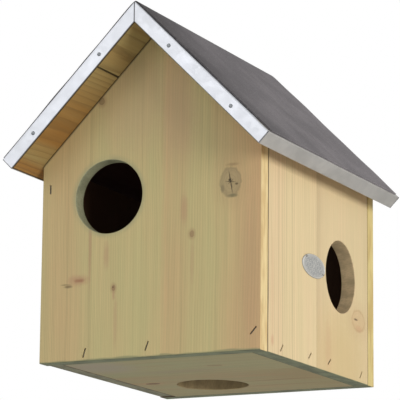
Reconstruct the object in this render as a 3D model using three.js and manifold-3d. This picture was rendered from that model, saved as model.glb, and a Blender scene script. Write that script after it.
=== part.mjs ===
// A boarded nesting house with a felted saddle roof, three round entrances and a side
// wall that swings out for cleaning. Millimetres; +Z is up, the front faces -Y.
// The origin is on the base plane, under the middle of the roof.

import * as THREE from 'three';
import { mergeVertices } from 'three/addons/utils/BufferGeometryUtils.js';
import Module from 'manifold-3d';

const wasm = await Module();
wasm.setup();

// ---- Driving dimensions ---------------------------------------------------------------------

// Box
const bodyWidth = 230;
const bodyDepth = 263;
const board = 15;
const bodyOffset = -3.5; // centre of the box, measured from the line under the ridge
const wallHeight = 194; // base to the roof's underside, at half the box's width from the ridge
const frontSeam = 9; // glued joint of the front, to the right of the ridge line
const backSeam = -18.5; // glued joint of the back, from the ridge line
const sideSeam = 139; // glued joints of the side walls, before the rear face
const floorSeam = 151; // glued joint of the floor, before the rear face

// Roof
const roofPitch = THREE.MathUtils.degToRad(45);
const roofBoard = 13;
const upperBoardWidth = 55;
const frontOverhang = 43;
const rearOverhang = 3.6;
const eaveOverhang = 13; // level distance that a slope's boards reach past half the box's width

// Sheet metal edging and roofing felt
const metal = 0.7;
const flange = 18;
const felt = 1.6;
const feltFrontInset = 2;
const feltRearInset = 9;
const feltEaveInset = 1;

// Entrances
const entranceRadius = 35.4;
const frontEntrance = { across: 71.5, up: 155 }; // from the left edge and the base
const sideEntrance = { ahead: 81.5, up: 97 }; // from the rear face and the base
const floorEntrance = { across: 90, ahead: 76 }; // from the left edge and the rear face

// Door: the left side wall, hung from two pins
const doorInset = 0.8; // its face lies this far inside the edge of the front board
const doorEndGap = 1; // to the front board and to the back board
const doorFloorGap = 2; // to the edge of the floor
const doorLift = 0.6; // its lower edge above the base
const doorHead = 21; // the door's height above its pins
const pivotDrop = 23; // pins below the outer upper corner of the door opening

// Turn button that holds the door shut
const button = { height: 48, reach: 30, width: 12, thickness: 1.2 };

// Oval tag on the right side, in front of the entrance there
const tag = { toHole: 2.7, drop: 0.5, halfLength: 26.6, halfHeight: 11.2, thickness: 0.8 };
const tagNailOffsets = [[-18.1, 7.2], [21, -4.9]];

// Hanging plate on the back
const hanger = { drop: 71, width: 22, height: 46, thickness: 1.2, screwSpacing: 34 };
const keyhole = { radius: 4.4, neck: 2.3, rise: 9, pocketDepth: 7, pocketMargin: 2.5 };

// Fasteners
const staple = { crown: 8.6, wire: 1.2, leg: 24, sunk: 0.7 };
const pin = { radius: 1.3, head: 8.4, headWidth: 1.4, headHeight: 1.2, sunk: 0.5, reach: 14 };
const vergeNail = { shank: 1, length: 20, head: 1.9, headHeight: 0.9 };
const tagNail = { shank: 0.6, length: 9, head: 1.3, headHeight: 0.6 };
const screw = { shank: 1.6, length: 11, head: 3.2, headHeight: 1.4 };

// Clearances
const seat = 0.3; // between pieces that rest on each other on the slopes
const slotGap = 0.3; // around a fastener in its hole
const runningGap = 0.1; // around a pin that something turns on

// ---- Derived places -------------------------------------------------------------------------

const ridgeHeight = wallHeight + (bodyWidth / 2) * Math.tan(roofPitch); // to the underside
const slopeLength = (bodyWidth / 2 + eaveOverhang) / Math.cos(roofPitch); // along the underside

const roofDepth = frontOverhang + bodyDepth + rearOverhang;
const vergeFront = -roofDepth / 2;
const vergeRear = roofDepth / 2;
const frontFace = vergeFront + frontOverhang;
const frontInner = frontFace + board;
const rearFace = frontFace + bodyDepth;
const rearInner = rearFace - board;

const leftFace = bodyOffset - bodyWidth / 2;
const rightFace = leftFace + bodyWidth;
const rightInner = rightFace - board;
const doorOuter = leftFace + doorInset;
const doorInner = doorOuter + board;
const floorLeft = doorInner + doorFloorGap;

const sideSeamY = rearFace - sideSeam;
const floorSeamY = rearFace - floorSeam;
const sideHoleY = rearFace - sideEntrance.ahead;
const floorHoleY = rearFace - floorEntrance.ahead;
const tagY = sideHoleY - entranceRadius - tag.toHole - tag.halfLength;
const tagZ = sideEntrance.up - tag.drop;
const hangerZ = ridgeHeight - hanger.drop;

const metalBase = roofBoard + seat;
const metalTop = metalBase + metal;
const feltBase = metalTop + seat;
const feltTop = feltBase + felt;
const eaveFace = slopeLength + seat;

// Height of the roof's underside above the base at a distance across from the ridge,
// less the clearance of what stands under it.
function underRoof(x) {
  return ridgeHeight - Math.abs(x) * Math.tan(roofPitch) - seat / Math.cos(roofPitch);
}

const pivot = new THREE.Vector3((doorOuter + doorInner) / 2, 0, underRoof(leftFace) - pivotDrop);

// ---- Geometry helpers -----------------------------------------------------------------------

function vertices(geometry) {
  const bare = geometry.clone();
  bare.deleteAttribute('normal');
  bare.deleteAttribute('uv');
  return mergeVertices(bare);
}

function toSolid(geometry) {
  const merged = vertices(geometry);
  return new wasm.Manifold(new wasm.Mesh({
    numProp: 3,
    vertProperties: Float32Array.from(merged.attributes.position.array),
    triVerts: Uint32Array.from(merged.index.array),
  }));
}

function toGeometry(solid) {
  const mesh = solid.getMesh();
  const geometry = new THREE.BufferGeometry();
  geometry.setAttribute('position', new THREE.BufferAttribute(mesh.vertProperties, 3));
  geometry.setIndex(new THREE.BufferAttribute(mesh.triVerts, 1));
  return geometry;
}

function join(...geometries) {
  return toGeometry(geometries.map(toSolid).reduce((whole, part) => whole.add(part)));
}

function cut(geometry, ...cutters) {
  return toGeometry(cutters.map(toSolid).reduce((rest, part) => rest.subtract(part), toSolid(geometry)));
}

const plainExtrusion = { bevelEnabled: false, curveSegments: 24 };

// A closed outline of [across, up] points, carried along Y from y0 to y1.
function alongY(outline, y0, y1) {
  const shape = outline instanceof THREE.Shape
    ? outline
    : new THREE.Shape(outline.map(([x, z]) => new THREE.Vector2(x, z)));
  const geometry = new THREE.ExtrudeGeometry(shape, { ...plainExtrusion, depth: y1 - y0 });
  return geometry.rotateX(Math.PI / 2).translate(0, y1, 0);
}

// A closed outline of [y, z] points, carried along X from x0 to x1.
function alongX(outline, x0, x1) {
  const shape = outline instanceof THREE.Shape
    ? outline
    : new THREE.Shape(outline.map(([y, z]) => new THREE.Vector2(y, z)));
  const geometry = new THREE.ExtrudeGeometry(shape, { ...plainExtrusion, depth: x1 - x0 });
  const turn = new THREE.Matrix4().set(0, 0, 1, x0, 1, 0, 0, 0, 0, 1, 0, 0, 0, 0, 0, 1);
  return geometry.applyMatrix4(turn);
}

function block(x0, x1, y0, y1, z0, z1) {
  const geometry = new THREE.BoxGeometry(x1 - x0, y1 - y0, z1 - z0);
  return geometry.translate((x0 + x1) / 2, (y0 + y1) / 2, (z0 + z1) / 2);
}

// A round bar from one point to another.
function rod(radius, from, to, segments = 16) {
  const along = new THREE.Vector3().subVectors(to, from);
  const geometry = new THREE.CylinderGeometry(radius, radius, along.length(), segments);
  const direction = along.clone().normalize();
  const turn = new THREE.Quaternion().setFromUnitVectors(new THREE.Vector3(0, 1, 0), direction);
  const centre = new THREE.Vector3().addVectors(from, to).multiplyScalar(0.5);
  return geometry.applyQuaternion(turn).translate(centre.x, centre.y, centre.z);
}

// A frame on a surface: Z leaves the surface, X lies in it and leans from "up" towards
// "across" by a tilt in degrees.
function onSurface(point, normal, across, up = [0, 0, 1], tilt = 0) {
  const lean = THREE.MathUtils.degToRad(tilt);
  const x = new THREE.Vector3(...up).multiplyScalar(Math.cos(lean));
  x.addScaledVector(new THREE.Vector3(...across), Math.sin(lean));
  const z = new THREE.Vector3(...normal);
  const y = new THREE.Vector3().crossVectors(z, x);
  return new THREE.Matrix4().makeBasis(x, y, z).setPosition(...point);
}

// The frame of a slope (side 1 is the right one, -1 the left): X runs away from the
// ridge on the right and towards it on the left, Z leaves the roof.
function slopeFrame(side) {
  return new THREE.Matrix4().makeRotationY(side * roofPitch).setPosition(0, 0, ridgeHeight);
}

// A closed section of [y, z] points carried down a slope between two distances from the
// ridge. A piece that starts at the ridge is cut plumb there, so that two slopes meet.
function downSlope(section, side, from, to) {
  const startsAtRidge = from === 0;
  const near = startsAtRidge ? seat / 2 : from;
  const geometry = alongX(section, Math.min(side * near, side * to), Math.max(side * near, side * to));
  if (startsAtRidge) {
    const points = geometry.attributes.position;
    for (let i = 0; i < points.count; i += 1) {
      const atRidge = Math.abs(points.getX(i) - side * near) < seat / 10;
      if (atRidge) points.setX(i, side * (near - points.getZ(i) * Math.tan(roofPitch)));
    }
  }
  return geometry;
}

// ---- Materials and nodes --------------------------------------------------------------------

const finishes = {
  frontPine: { color: 0xb4a472, roughness: 0.75, metalness: 0 },
  sidePine: { color: 0xdec69b, roughness: 0.75, metalness: 0 },
  floorPine: { color: 0x857d61, roughness: 0.85, metalness: 0 },
  roofPine: { color: 0x7c5e34, roughness: 0.85, metalness: 0 },
  zinc: { color: 0xd6dade, roughness: 0.4, metalness: 0.8 },
  felt: { color: 0x807d80, roughness: 0.95, metalness: 0 },
  steel: { color: 0x55524c, roughness: 0.5, metalness: 0.9 },
  tag: { color: 0xaeaca5, roughness: 0.5, metalness: 0.7 },
};

function node(name, finish, geometry) {
  const mesh = new THREE.Mesh(geometry, new THREE.MeshStandardMaterial(finishes[finish]));
  mesh.name = name;
  return mesh;
}

const house = new THREE.Group();
const box = new THREE.Group();
const fixings = new THREE.Group();
house.add(box, fixings);

// ---- Fasteners ------------------------------------------------------------------------------
// Each one is drawn in a frame whose Z leaves the wood. Its clearance is cut out of
// every board and plate that it passes through.

const clearances = [];

function fasten(name, finish, shape, clearance, frame) {
  const mesh = node(name, finish, shape);
  mesh.applyMatrix4(frame);
  fixings.add(mesh);
  clearances.push(clearance.applyMatrix4(frame));
}

// A staple's U, from its crown down, grown all round by a gap.
function stapleShape(grow, top) {
  const outer = staple.crown / 2 + grow;
  const inner = staple.crown / 2 - staple.wire - grow;
  const underCrown = -staple.sunk - staple.wire - grow;
  const foot = -staple.sunk - staple.leg - grow;
  const outline = [
    [-outer, top], [-outer, foot], [-inner, foot], [-inner, underCrown],
    [inner, underCrown], [inner, foot], [outer, foot], [outer, top],
  ];
  return alongY(outline, -staple.wire / 2 - grow, staple.wire / 2 + grow);
}

function addStaple(name, frame) {
  fasten(name, 'steel', stapleShape(0, -staple.sunk), stapleShape(slotGap, 1), frame);
}

// A nail or screw whose head lies on the surface, over a plate of the given thickness.
function roundHead(size, under) {
  const lift = under + runningGap;
  const profile = [
    [0, -size.length], [size.shank * 0.35, 1.5 - size.length], [size.shank, 4 - size.length],
    [size.shank, lift], [size.head, lift], [size.head, lift + size.headHeight * 0.45],
    [size.head * 0.72, lift + size.headHeight * 0.85], [0, lift + size.headHeight],
  ];
  const points = profile.map(([r, y]) => new THREE.Vector2(r, y));
  return new THREE.LatheGeometry(points, 20).rotateX(Math.PI / 2);
}

function addRoundHead(name, finish, size, frame, under) {
  const top = new THREE.Vector3(0, 0, under + runningGap / 2);
  const foot = new THREE.Vector3(0, 0, -size.length - slotGap);
  fasten(name, finish, roundHead(size, under), rod(size.shank + slotGap, foot, top), frame);
}

// A door pin: a round shank that the door turns on, with a bar across its head, sunk
// into the outside of the gable board.
function pinShape(grow, shankGrow, top) {
  const foot = new THREE.Vector3(0, 0, -board - doorEndGap - pin.reach - grow);
  const neck = new THREE.Vector3(0, 0, -pin.sunk - pin.headHeight / 2);
  const half = pin.head / 2 + grow;
  const halfWidth = pin.headWidth / 2 + grow;
  const underHead = -pin.sunk - pin.headHeight - grow;
  const bar = block(-half, half, -halfWidth, halfWidth, underHead, top);
  return join(rod(pin.radius + shankGrow, foot, neck), bar);
}

function addPin(name, frame) {
  fasten(name, 'steel', pinShape(0, 0, -pin.sunk), pinShape(slotGap, runningGap, 1), frame);
}

const toFront = [0, -1, 0];
const toRear = [0, 1, 0];
const toRight = [1, 0, 0];
const toLeft = [-1, 0, 0];
const upwards = [0, 0, 1];

// Staples through the front: two into the floor, one into the right wall.
const frontStaples = [[48, 7.7, 16], [113.7, 10.4, 20], [bodyWidth - board / 2, 18, 42]];
frontStaples.forEach(([across, up, tilt], i) => {
  const frame = onSurface([leftFace + across, frontFace, up], toFront, toRight, upwards, tilt);
  addStaple(`front_staple_${i + 1}`, frame);
});

// Staples through the right wall into the floor: one near each corner and two beside
// the wall's glued joint.
const sideStaples = [
  [frontFace + 45.6, 7.8, 40], [sideSeamY - 15.2, 9.6, 45],
  [sideSeamY + 30.3, 10.2, 50], [rearFace - 32, 8, 38],
];
sideStaples.forEach(([y, up, tilt], i) => {
  const frame = onSurface([rightFace, y, up], toRight, toRear, upwards, tilt);
  addStaple(`side_staple_${i + 1}`, frame);
});

// Staples through the back: two into the floor, two into the right wall.
const backStaples = [
  [60, 8, 25], [150, 8.5, 35], [bodyWidth - board / 2, 30, 4], [bodyWidth - board / 2, 165, -5],
];
backStaples.forEach(([across, up, tilt], i) => {
  const frame = onSurface([leftFace + across, rearFace, up], toRear, toLeft, upwards, tilt);
  addStaple(`back_staple_${i + 1}`, frame);
});

// Staples under the felt, through each roof board into the gable at either end.
const roofStapleRows = { upper: 36, lower: 110 };
const gableMiddles = { front: frontFace + board / 2, rear: rearFace - board / 2 };
for (const [hand, side] of [['left', -1], ['right', 1]]) {
  for (const [row, down] of Object.entries(roofStapleRows)) {
    for (const [end, y] of Object.entries(gableMiddles)) {
      const local = onSurface([side * down, y, roofBoard], upwards, toRear, toRight);
      addStaple(`roof_staple_${hand}_${row}_${end}`, slopeFrame(side).multiply(local));
    }
  }
}

// Nails through the verge edging, near the quarter points of each slope; the left lower one sits
// a little further down.
for (const [end, y, normal] of [['front', vergeFront, toFront], ['rear', vergeRear, toRear]]) {
  for (const [hand, side, lower] of [['left', -1, 0.79], ['right', 1, 0.75]]) {
    for (const [row, share] of [['upper', 0.25], ['lower', lower]]) {
      const local = onSurface([side * share * slopeLength, y, roofBoard / 2], normal, toRight);
      const frame = slopeFrame(side).multiply(local);
      addRoundHead(`verge_nail_${end}_${hand}_${row}`, 'zinc', vergeNail, frame, 0);
    }
  }
}

addPin('door_pin_front', onSurface([pivot.x, frontFace, pivot.z], toFront, toRight));
addPin('door_pin_rear', onSurface([pivot.x, rearFace, pivot.z], toRear, toLeft));

tagNailOffsets.forEach(([back, up], i) => {
  const point = [rightFace, tagY + back, tagZ + up];
  const frame = onSurface(point, toRight, toRear);
  addRoundHead(`tag_nail_${i + 1}`, 'tag', tagNail, frame, seat + tag.thickness);
});

for (const [end, side] of [['upper', 1], ['lower', -1]]) {
  const point = [0, rearFace, hangerZ + side * hanger.screwSpacing / 2];
  const frame = onSurface(point, toRear, toLeft);
  addRoundHead(`hanger_screw_${end}`, 'steel', screw, frame, seat + hanger.thickness);
}

const buttonPivot = new THREE.Vector3(leftFace, rearFace - board / 2, button.height);
addRoundHead(
  'turn_button_screw', 'steel', screw,
  onSurface(buttonPivot.toArray(), toLeft, toRear), seat + button.thickness,
);

const allClearances = join(...clearances);

// Cuts the fasteners' clearances out of a piece drawn in a group with the given frame.
function pierced(geometry, frame = new THREE.Matrix4()) {
  return cut(geometry, allClearances.clone().applyMatrix4(frame.clone().invert()));
}

// ---- Front and back -------------------------------------------------------------------------

// The outline of a gable board between two places across, under both slopes.
function gableOutline(x0, x1) {
  const peak = x0 < 0 && x1 > 0 ? [[0, underRoof(0)]] : [];
  return [[x0, 0], [x1, 0], [x1, underRoof(x1)], ...peak, [x0, underRoof(x0)]];
}

function gableBoard(x0, x1, y0) {
  return pierced(alongY(gableOutline(x0, x1), y0, y0 + board));
}

const frontHoleAt = new THREE.Vector3(leftFace + frontEntrance.across, frontFace, frontEntrance.up);
const frontHole = rod(
  entranceRadius,
  frontHoleAt.clone().setY(frontFace - board),
  frontHoleAt.clone().setY(frontInner + board),
  72,
);
const frontLeft = gableBoard(leftFace, frontSeam, frontFace);
const frontRight = gableBoard(frontSeam, rightFace, frontFace);
box.add(node('front_board_left', 'frontPine', cut(frontLeft, frontHole)));
box.add(node('front_board_right', 'frontPine', cut(frontRight, frontHole)));

// A keyhole outline about its centre, grown all round.
function keyholeShape(grow) {
  const wide = keyhole.radius + grow;
  const narrow = keyhole.neck + grow;
  const half = Math.asin(narrow / wide);
  const shape = new THREE.Shape();
  shape.absarc(0, 0, wide, Math.PI / 2 + half, Math.PI / 2 - half + 2 * Math.PI, false);
  shape.absarc(0, keyhole.rise, narrow, 0, Math.PI, false);
  return shape;
}

const keyholeBase = hangerZ - keyhole.rise / 2;
const pocket = alongY(keyholeShape(keyhole.pocketMargin), rearFace - keyhole.pocketDepth, rearFace + board);
pocket.translate(0, 0, keyholeBase);

box.add(node('back_board_left', 'frontPine', cut(gableBoard(leftFace, backSeam, rearInner), pocket)));
box.add(node('back_board_right', 'frontPine', cut(gableBoard(backSeam, rightFace, rearInner), pocket)));

// ---- Right wall and floor -------------------------------------------------------------------

const wallSection = [
  [rightInner, 0], [rightFace, 0], [rightFace, underRoof(rightFace)], [rightInner, underRoof(rightInner)],
];
const sideHoleAt = new THREE.Vector3(rightFace, sideHoleY, sideEntrance.up);
const sideHole = rod(
  entranceRadius,
  sideHoleAt.clone().setX(rightInner - board),
  sideHoleAt.clone().setX(rightFace + board),
  72,
);
const wallFront = pierced(alongY(wallSection, frontInner, sideSeamY));
const wallRear = pierced(alongY(wallSection, sideSeamY, rearInner));
box.add(node('right_wall_front', 'sidePine', cut(wallFront, sideHole)));
box.add(node('right_wall_rear', 'sidePine', cut(wallRear, sideHole)));

const floorHoleAt = new THREE.Vector3(leftFace + floorEntrance.across, floorHoleY, 0);
const floorHole = rod(
  entranceRadius,
  floorHoleAt.clone().setZ(-board),
  floorHoleAt.clone().setZ(2 * board),
  72,
);
const floorFront = block(floorLeft, rightInner, frontInner, floorSeamY, 0, board);
const floorRear = block(floorLeft, rightInner, floorSeamY, rearInner, 0, board);
box.add(node('floor_board_front', 'floorPine', cut(pierced(floorFront), floorHole)));
box.add(node('floor_board_rear', 'floorPine', cut(pierced(floorRear), floorHole)));

// ---- Door -----------------------------------------------------------------------------------
// Its group stands at the pivot line, so the boards are drawn from there.

const door = new THREE.Group();
door.position.copy(pivot);
house.add(door);

function doorBoard(y0, y1) {
  const height = pivot.z + doorHead;
  const plank = block(doorOuter, doorInner, y0, y1, doorLift, height);
  return pierced(plank).translate(-pivot.x, -pivot.y, -pivot.z);
}

door.add(node('door_board_front', 'sidePine', doorBoard(frontInner + doorEndGap, sideSeamY)));
door.add(node('door_board_rear', 'sidePine', doorBoard(sideSeamY, rearInner - doorEndGap)));

// ---- Turn button ----------------------------------------------------------------------------
// It hangs from its screw on the edge of the back board, clear of the door.

const turnButton = new THREE.Group();
turnButton.position.copy(buttonPivot);
house.add(turnButton);

const buttonShape = new THREE.Shape();
buttonShape.absarc(0, 0, button.width / 2, 0, Math.PI, false);
buttonShape.absarc(0, -button.reach, button.width / 2, Math.PI, 2 * Math.PI, false);
const buttonHole = rod(
  screw.shank + runningGap,
  new THREE.Vector3(-board, 0, 0),
  new THREE.Vector3(board, 0, 0),
);
const buttonPlate = alongX(buttonShape, -seat - button.thickness, -seat);
turnButton.add(node('turn_button', 'zinc', cut(buttonPlate, buttonHole)));

// ---- Tag and hanging plate ------------------------------------------------------------------

const tagShape = new THREE.Shape();
tagShape.absellipse(0, 0, tag.halfLength, tag.halfHeight, 0, 2 * Math.PI);
const tagPlate = alongX(tagShape, rightFace + seat, rightFace + seat + tag.thickness);
tagPlate.translate(0, tagY, tagZ);
fixings.add(node('oval_tag', 'tag', pierced(tagPlate)));

const hangerShape = new THREE.Shape();
const hangerRound = hanger.width / 2;
const hangerReach = hanger.height / 2 - hangerRound;
hangerShape.absarc(0, hangerReach, hangerRound, 0, Math.PI, false);
hangerShape.absarc(0, -hangerReach, hangerRound, Math.PI, 2 * Math.PI, false);
const keyholeCut = alongY(keyholeShape(0), rearFace - board, rearFace + board).translate(0, 0, keyholeBase);
const hangerPlate = alongY(hangerShape, rearFace + seat, rearFace + seat + hanger.thickness);
hangerPlate.translate(0, 0, hangerZ);
fixings.add(node('hanging_plate', 'zinc', cut(pierced(hangerPlate), keyholeCut)));

// ---- Roof -----------------------------------------------------------------------------------

const roof = new THREE.Group();
house.add(roof);

const boardFront = vergeFront + metal + seat;
const boardRear = vergeRear - metal - seat;

function slopeSection(y0, y1, z0, z1) {
  return [[y0, z0], [y1, z0], [y1, z1], [y0, z1]];
}

// The edging along a verge: an upright face over the board ends and a flange on top of
// them, which stops short of the eave's own flange.
function vergeTrim(side, outer, inward) {
  const inner = outer + inward * metal;
  const tongue = outer + inward * flange;
  const face = slopeSection(Math.min(outer, inner), Math.max(outer, inner), 0, metalTop);
  const top = slopeSection(Math.min(outer, tongue), Math.max(outer, tongue), metalBase, metalTop);
  const whole = join(
    downSlope(face, side, 0, eaveFace + metal),
    downSlope(top, side, 0, slopeLength - flange - seat),
  );
  return pierced(whole, slopeFrame(side));
}

// The edging along an eave: the same angle, between the verges' faces.
function eaveTrim(side) {
  const y0 = vergeFront + metal + seat;
  const y1 = vergeRear - metal - seat;
  const outer = eaveFace + metal;
  const face = downSlope(slopeSection(y0, y1, 0, metalTop), side, eaveFace, outer);
  const top = downSlope(slopeSection(y0, y1, metalBase, metalTop), side, slopeLength - flange, outer);
  return join(face, top);
}

for (const [hand, side] of [['left', -1], ['right', 1]]) {
  const slope = new THREE.Group();
  slope.applyMatrix4(slopeFrame(side));
  roof.add(slope);
  const section = slopeSection(boardFront, boardRear, 0, roofBoard);
  const upper = pierced(downSlope(section, side, 0, upperBoardWidth), slopeFrame(side));
  const lower = pierced(downSlope(section, side, upperBoardWidth + seat, slopeLength), slopeFrame(side));
  slope.add(node(`roof_board_${hand}_upper`, 'roofPine', upper));
  slope.add(node(`roof_board_${hand}_lower`, 'roofPine', lower));
  slope.add(node(`verge_trim_front_${hand}`, 'zinc', vergeTrim(side, vergeFront, 1)));
  slope.add(node(`verge_trim_rear_${hand}`, 'zinc', vergeTrim(side, vergeRear, -1)));
  slope.add(node(`eave_trim_${hand}`, 'zinc', eaveTrim(side)));
}

// The felt: one sheet folded over the ridge.
function onSlope(side, down, out) {
  const x = down * Math.cos(roofPitch) + out * Math.sin(roofPitch);
  const z = ridgeHeight - down * Math.sin(roofPitch) + out * Math.cos(roofPitch);
  return [side * x, z];
}

const feltEdge = eaveFace + metal - feltEaveInset;
const feltOutline = [
  onSlope(-1, feltEdge, feltBase),
  [0, ridgeHeight + feltBase / Math.cos(roofPitch)],
  onSlope(1, feltEdge, feltBase),
  onSlope(1, feltEdge, feltTop),
  [0, ridgeHeight + feltTop / Math.cos(roofPitch)],
  onSlope(-1, feltEdge, feltTop),
];
const feltSheet = alongY(feltOutline, vergeFront + feltFrontInset, vergeRear - feltRearInset);
roof.add(node('roof_felt', 'felt', feltSheet));

export default house;
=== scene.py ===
"""A nesting house of pine boards under a felted roof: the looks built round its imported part.

Lengths inside the shape functions are millimetres in the part's own frame (X across to the
right, Y to the rear, Z up); meshes are stored in metres. Distances "down" are measured down a
roof slope from the ridge, and "out" away from the roof's underside.
"""

import math

import bmesh
import bpy
import numpy as np
from bpy.props import FloatProperty, FloatVectorProperty, PointerProperty
from mathutils import Matrix, Vector


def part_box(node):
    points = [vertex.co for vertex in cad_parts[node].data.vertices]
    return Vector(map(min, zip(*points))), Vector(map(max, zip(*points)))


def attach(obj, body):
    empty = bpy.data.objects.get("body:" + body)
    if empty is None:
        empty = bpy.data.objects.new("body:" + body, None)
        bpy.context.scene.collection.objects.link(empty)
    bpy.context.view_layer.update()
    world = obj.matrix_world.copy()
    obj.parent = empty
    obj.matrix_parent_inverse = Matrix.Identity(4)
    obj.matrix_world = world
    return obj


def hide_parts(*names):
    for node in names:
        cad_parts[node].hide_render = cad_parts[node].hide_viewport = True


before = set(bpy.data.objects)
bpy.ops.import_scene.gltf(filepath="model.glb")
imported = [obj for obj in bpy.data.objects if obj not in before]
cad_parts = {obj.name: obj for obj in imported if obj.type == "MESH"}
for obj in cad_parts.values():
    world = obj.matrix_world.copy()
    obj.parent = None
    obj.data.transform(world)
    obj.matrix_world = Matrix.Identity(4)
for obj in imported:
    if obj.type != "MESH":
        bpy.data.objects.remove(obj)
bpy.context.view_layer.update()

bl_info = {
    "name": "Nesting house looks",
    "version": (1, 0, 0),
    "blender": (4, 5, 0),
    "location": "3D View > Sidebar > Nesting house",
    "description": "Boards, felt, edging, fixings and studio for a squirrel and bird nesting house",
    "category": "Object",
}

MM = 0.001
SLANT = math.sqrt(0.5)

METAL_BASE = 13.3
METAL_TOP = 14.0
FELT_BASE = 14.3
FELT_TOP = 15.9
SEAT = 0.3
FELT_EAVE_INSET = 1.0
FELT_SETTLED = 0.2
FELT_ACROSS = 129
FELT_ALONG = 141
RIDGE_FOLD_TOP = 1.5
RIDGE_FOLD_BASE = 0.4
RIM_WEIGHT = 0.9
SEAM_WEIGHT = 0.22
STAPLE_ROUND = 0.00042
PIN_ROUND = 0.0003
PLATE_ROUND = 0.0002
BUTTON_ROUND = 0.00025
MERGE = 2e-6
BOARD_MERGE = 3e-6
FLAT_WITHIN = math.radians(0.6)
BEVEL_ABOVE = math.radians(30)


def box_mm(node):
    """A CAD node's lowest and highest corner in millimetres."""
    low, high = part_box(node)
    return np.array(low) / MM, np.array(high) / MM


RIDGE = box_mm("roof_felt")[1][2] - FELT_TOP / SLANT
VERGE_FRONT = box_mm("verge_trim_front_left")[0][1]
VERGE_REAR = box_mm("verge_trim_rear_left")[1][1]
EAVE_OUTER = box_mm("eave_trim_right")[1][0] / SLANT - METAL_TOP
METAL = METAL_TOP - METAL_BASE
SLOPE_LENGTH = EAVE_OUTER - METAL - SEAT
FLANGE = 18.0
FRONT_FACE = box_mm("front_board_left")[0][1]
REAR_FACE = box_mm("back_board_left")[1][1]
RIGHT_FACE = box_mm("right_wall_front")[1][0]
HOLE_RADIUS = 35.4
FRONT_HOLE = (-47.0, 155.0)
SIDE_HOLE = (69.7, 97.0)
FLOOR_HOLE = (75.2, -28.5)

X, Y, Z = np.eye(3)
BROWN = (0.20, 0.115, 0.05)
DARK = (0.09, 0.055, 0.025)
ROSE = (0.52, 0.27, 0.17)
DUSK = (0.60, 0.41, 0.24)
UMBER = (0.30, 0.19, 0.09)
CRACK = (0.05, 0.04, 0.022)
LIP = (0.40, 0.40, 0.23)
DAMP = (0.27, 0.28, 0.155)
PORE = (0.08, 0.08, 0.05)
SHADOW = (0.10, 0.08, 0.035)
ROOM_SHADE = (0.05, 0.012, 0.006)
JOINT_AND_SHADOW = (0.05, 0.032, 0.014)
HALO = (0.46, 0.30, 0.16)
ROOF_LATE = (0.16, 0.09, 0.03)
INSIDE_COVER = 0.96
ZINC_GAP_SHADE = (0.09, 0.088, 0.09)
PALE_GRANULE = (0.36, 0.34, 0.33)
NAIL_ZINC = (0.33, 0.35, 0.37)
NAIL_DULL = (0.17, 0.18, 0.18)
TAG_NAIL = (0.33, 0.32, 0.30)
TAG_NAIL_DULL = (0.16, 0.13, 0.10)
SCREW = (0.30, 0.29, 0.26)

# Head radius, head height, shank radius and length of each kind of nail and screw.
VERGE_NAIL_SIZE = (1.9, 0.9, 1.0, 20.9)
TAG_NAIL_SIZE = (1.3, 0.6, 0.6, 10.8)
SCREW_SIZE = (3.2, 1.4, 1.6, 14.0)

# The camera's place in metres, and its yaw, pitch and roll in degrees.
CAMERA_PLACE = (1.1186, -2.2507, -0.3699)
CAMERA_TURN = (26.57, 12.11, 0.57)
MIDDLE = (0.0, 0.0, 0.16)


# ---- Shader maths ----


class Value:
    """An output socket; the usual operators on it add Math nodes beside it."""

    def __init__(self, nodes, socket):
        self.nodes = nodes
        self.socket = socket

    def math(self, operation, *others):
        return self.nodes.add("ShaderNodeMath", {"operation": operation}, [self, *others])

    def __add__(self, other):
        return self.math("ADD", other)

    __radd__ = __add__

    def __sub__(self, other):
        return self.math("SUBTRACT", other)

    def __rsub__(self, other):
        return self.nodes.add("ShaderNodeMath", {"operation": "SUBTRACT"}, [other, self])

    def __mul__(self, other):
        return self.math("MULTIPLY", other)

    __rmul__ = __mul__

    def __truediv__(self, other):
        return self.math("DIVIDE", other)

    def root(self):
        return self.math("SQRT")

    def fract(self):
        return self.math("FRACT")

    def size(self):
        return self.math("ABSOLUTE")

    def greatest(self, other):
        return self.math("MAXIMUM", other)

    def least(self, other):
        return self.math("MINIMUM", other)

    def step(self, start, end, low=0.0, high=1.0):
        """Rises smoothly from low at start to high at end."""
        settings = {"interpolation_type": "SMOOTHSTEP"}
        return self.nodes.add("ShaderNodeMapRange", settings, [self, start, end, low, high])

    def ramp(self, stops):
        """A piecewise value: stops are (position, value) pairs."""
        grey = [(place, (value, value, value, 1.0)) for place, value in stops]
        return self.nodes.add("ShaderNodeValToRGB", {"stops": grey}, [self])


class Nodes:
    """A node tree to which nodes are added, each with its settings and its inputs."""

    def __init__(self, tree):
        self.tree = tree
        self.tree.nodes.clear()

    def feed(self, socket, value):
        if isinstance(value, Value):
            self.tree.links.new(value.socket, socket)
        else:
            socket.default_value = value

    def add(self, kind, settings=None, sockets=(), out=0):
        """A node of that kind: its settings first, then values or links for its sockets."""
        node = self.tree.nodes.new(kind)
        for key, value in (settings or {}).items():
            if key == "stops":
                self.set_stops(node.color_ramp, value)
            else:
                setattr(node, key, value)
        pairs = sockets.items() if isinstance(sockets, dict) else enumerate(sockets)
        for key, value in pairs:
            self.feed(node.inputs[key], value)
        return Value(self, node.outputs[out])

    def set_stops(self, ramp, stops):
        while len(ramp.elements) < len(stops):
            ramp.elements.new(0.5)
        for element, (place, colour) in zip(ramp.elements, stops):
            element.position = place
            element.color = colour


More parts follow.
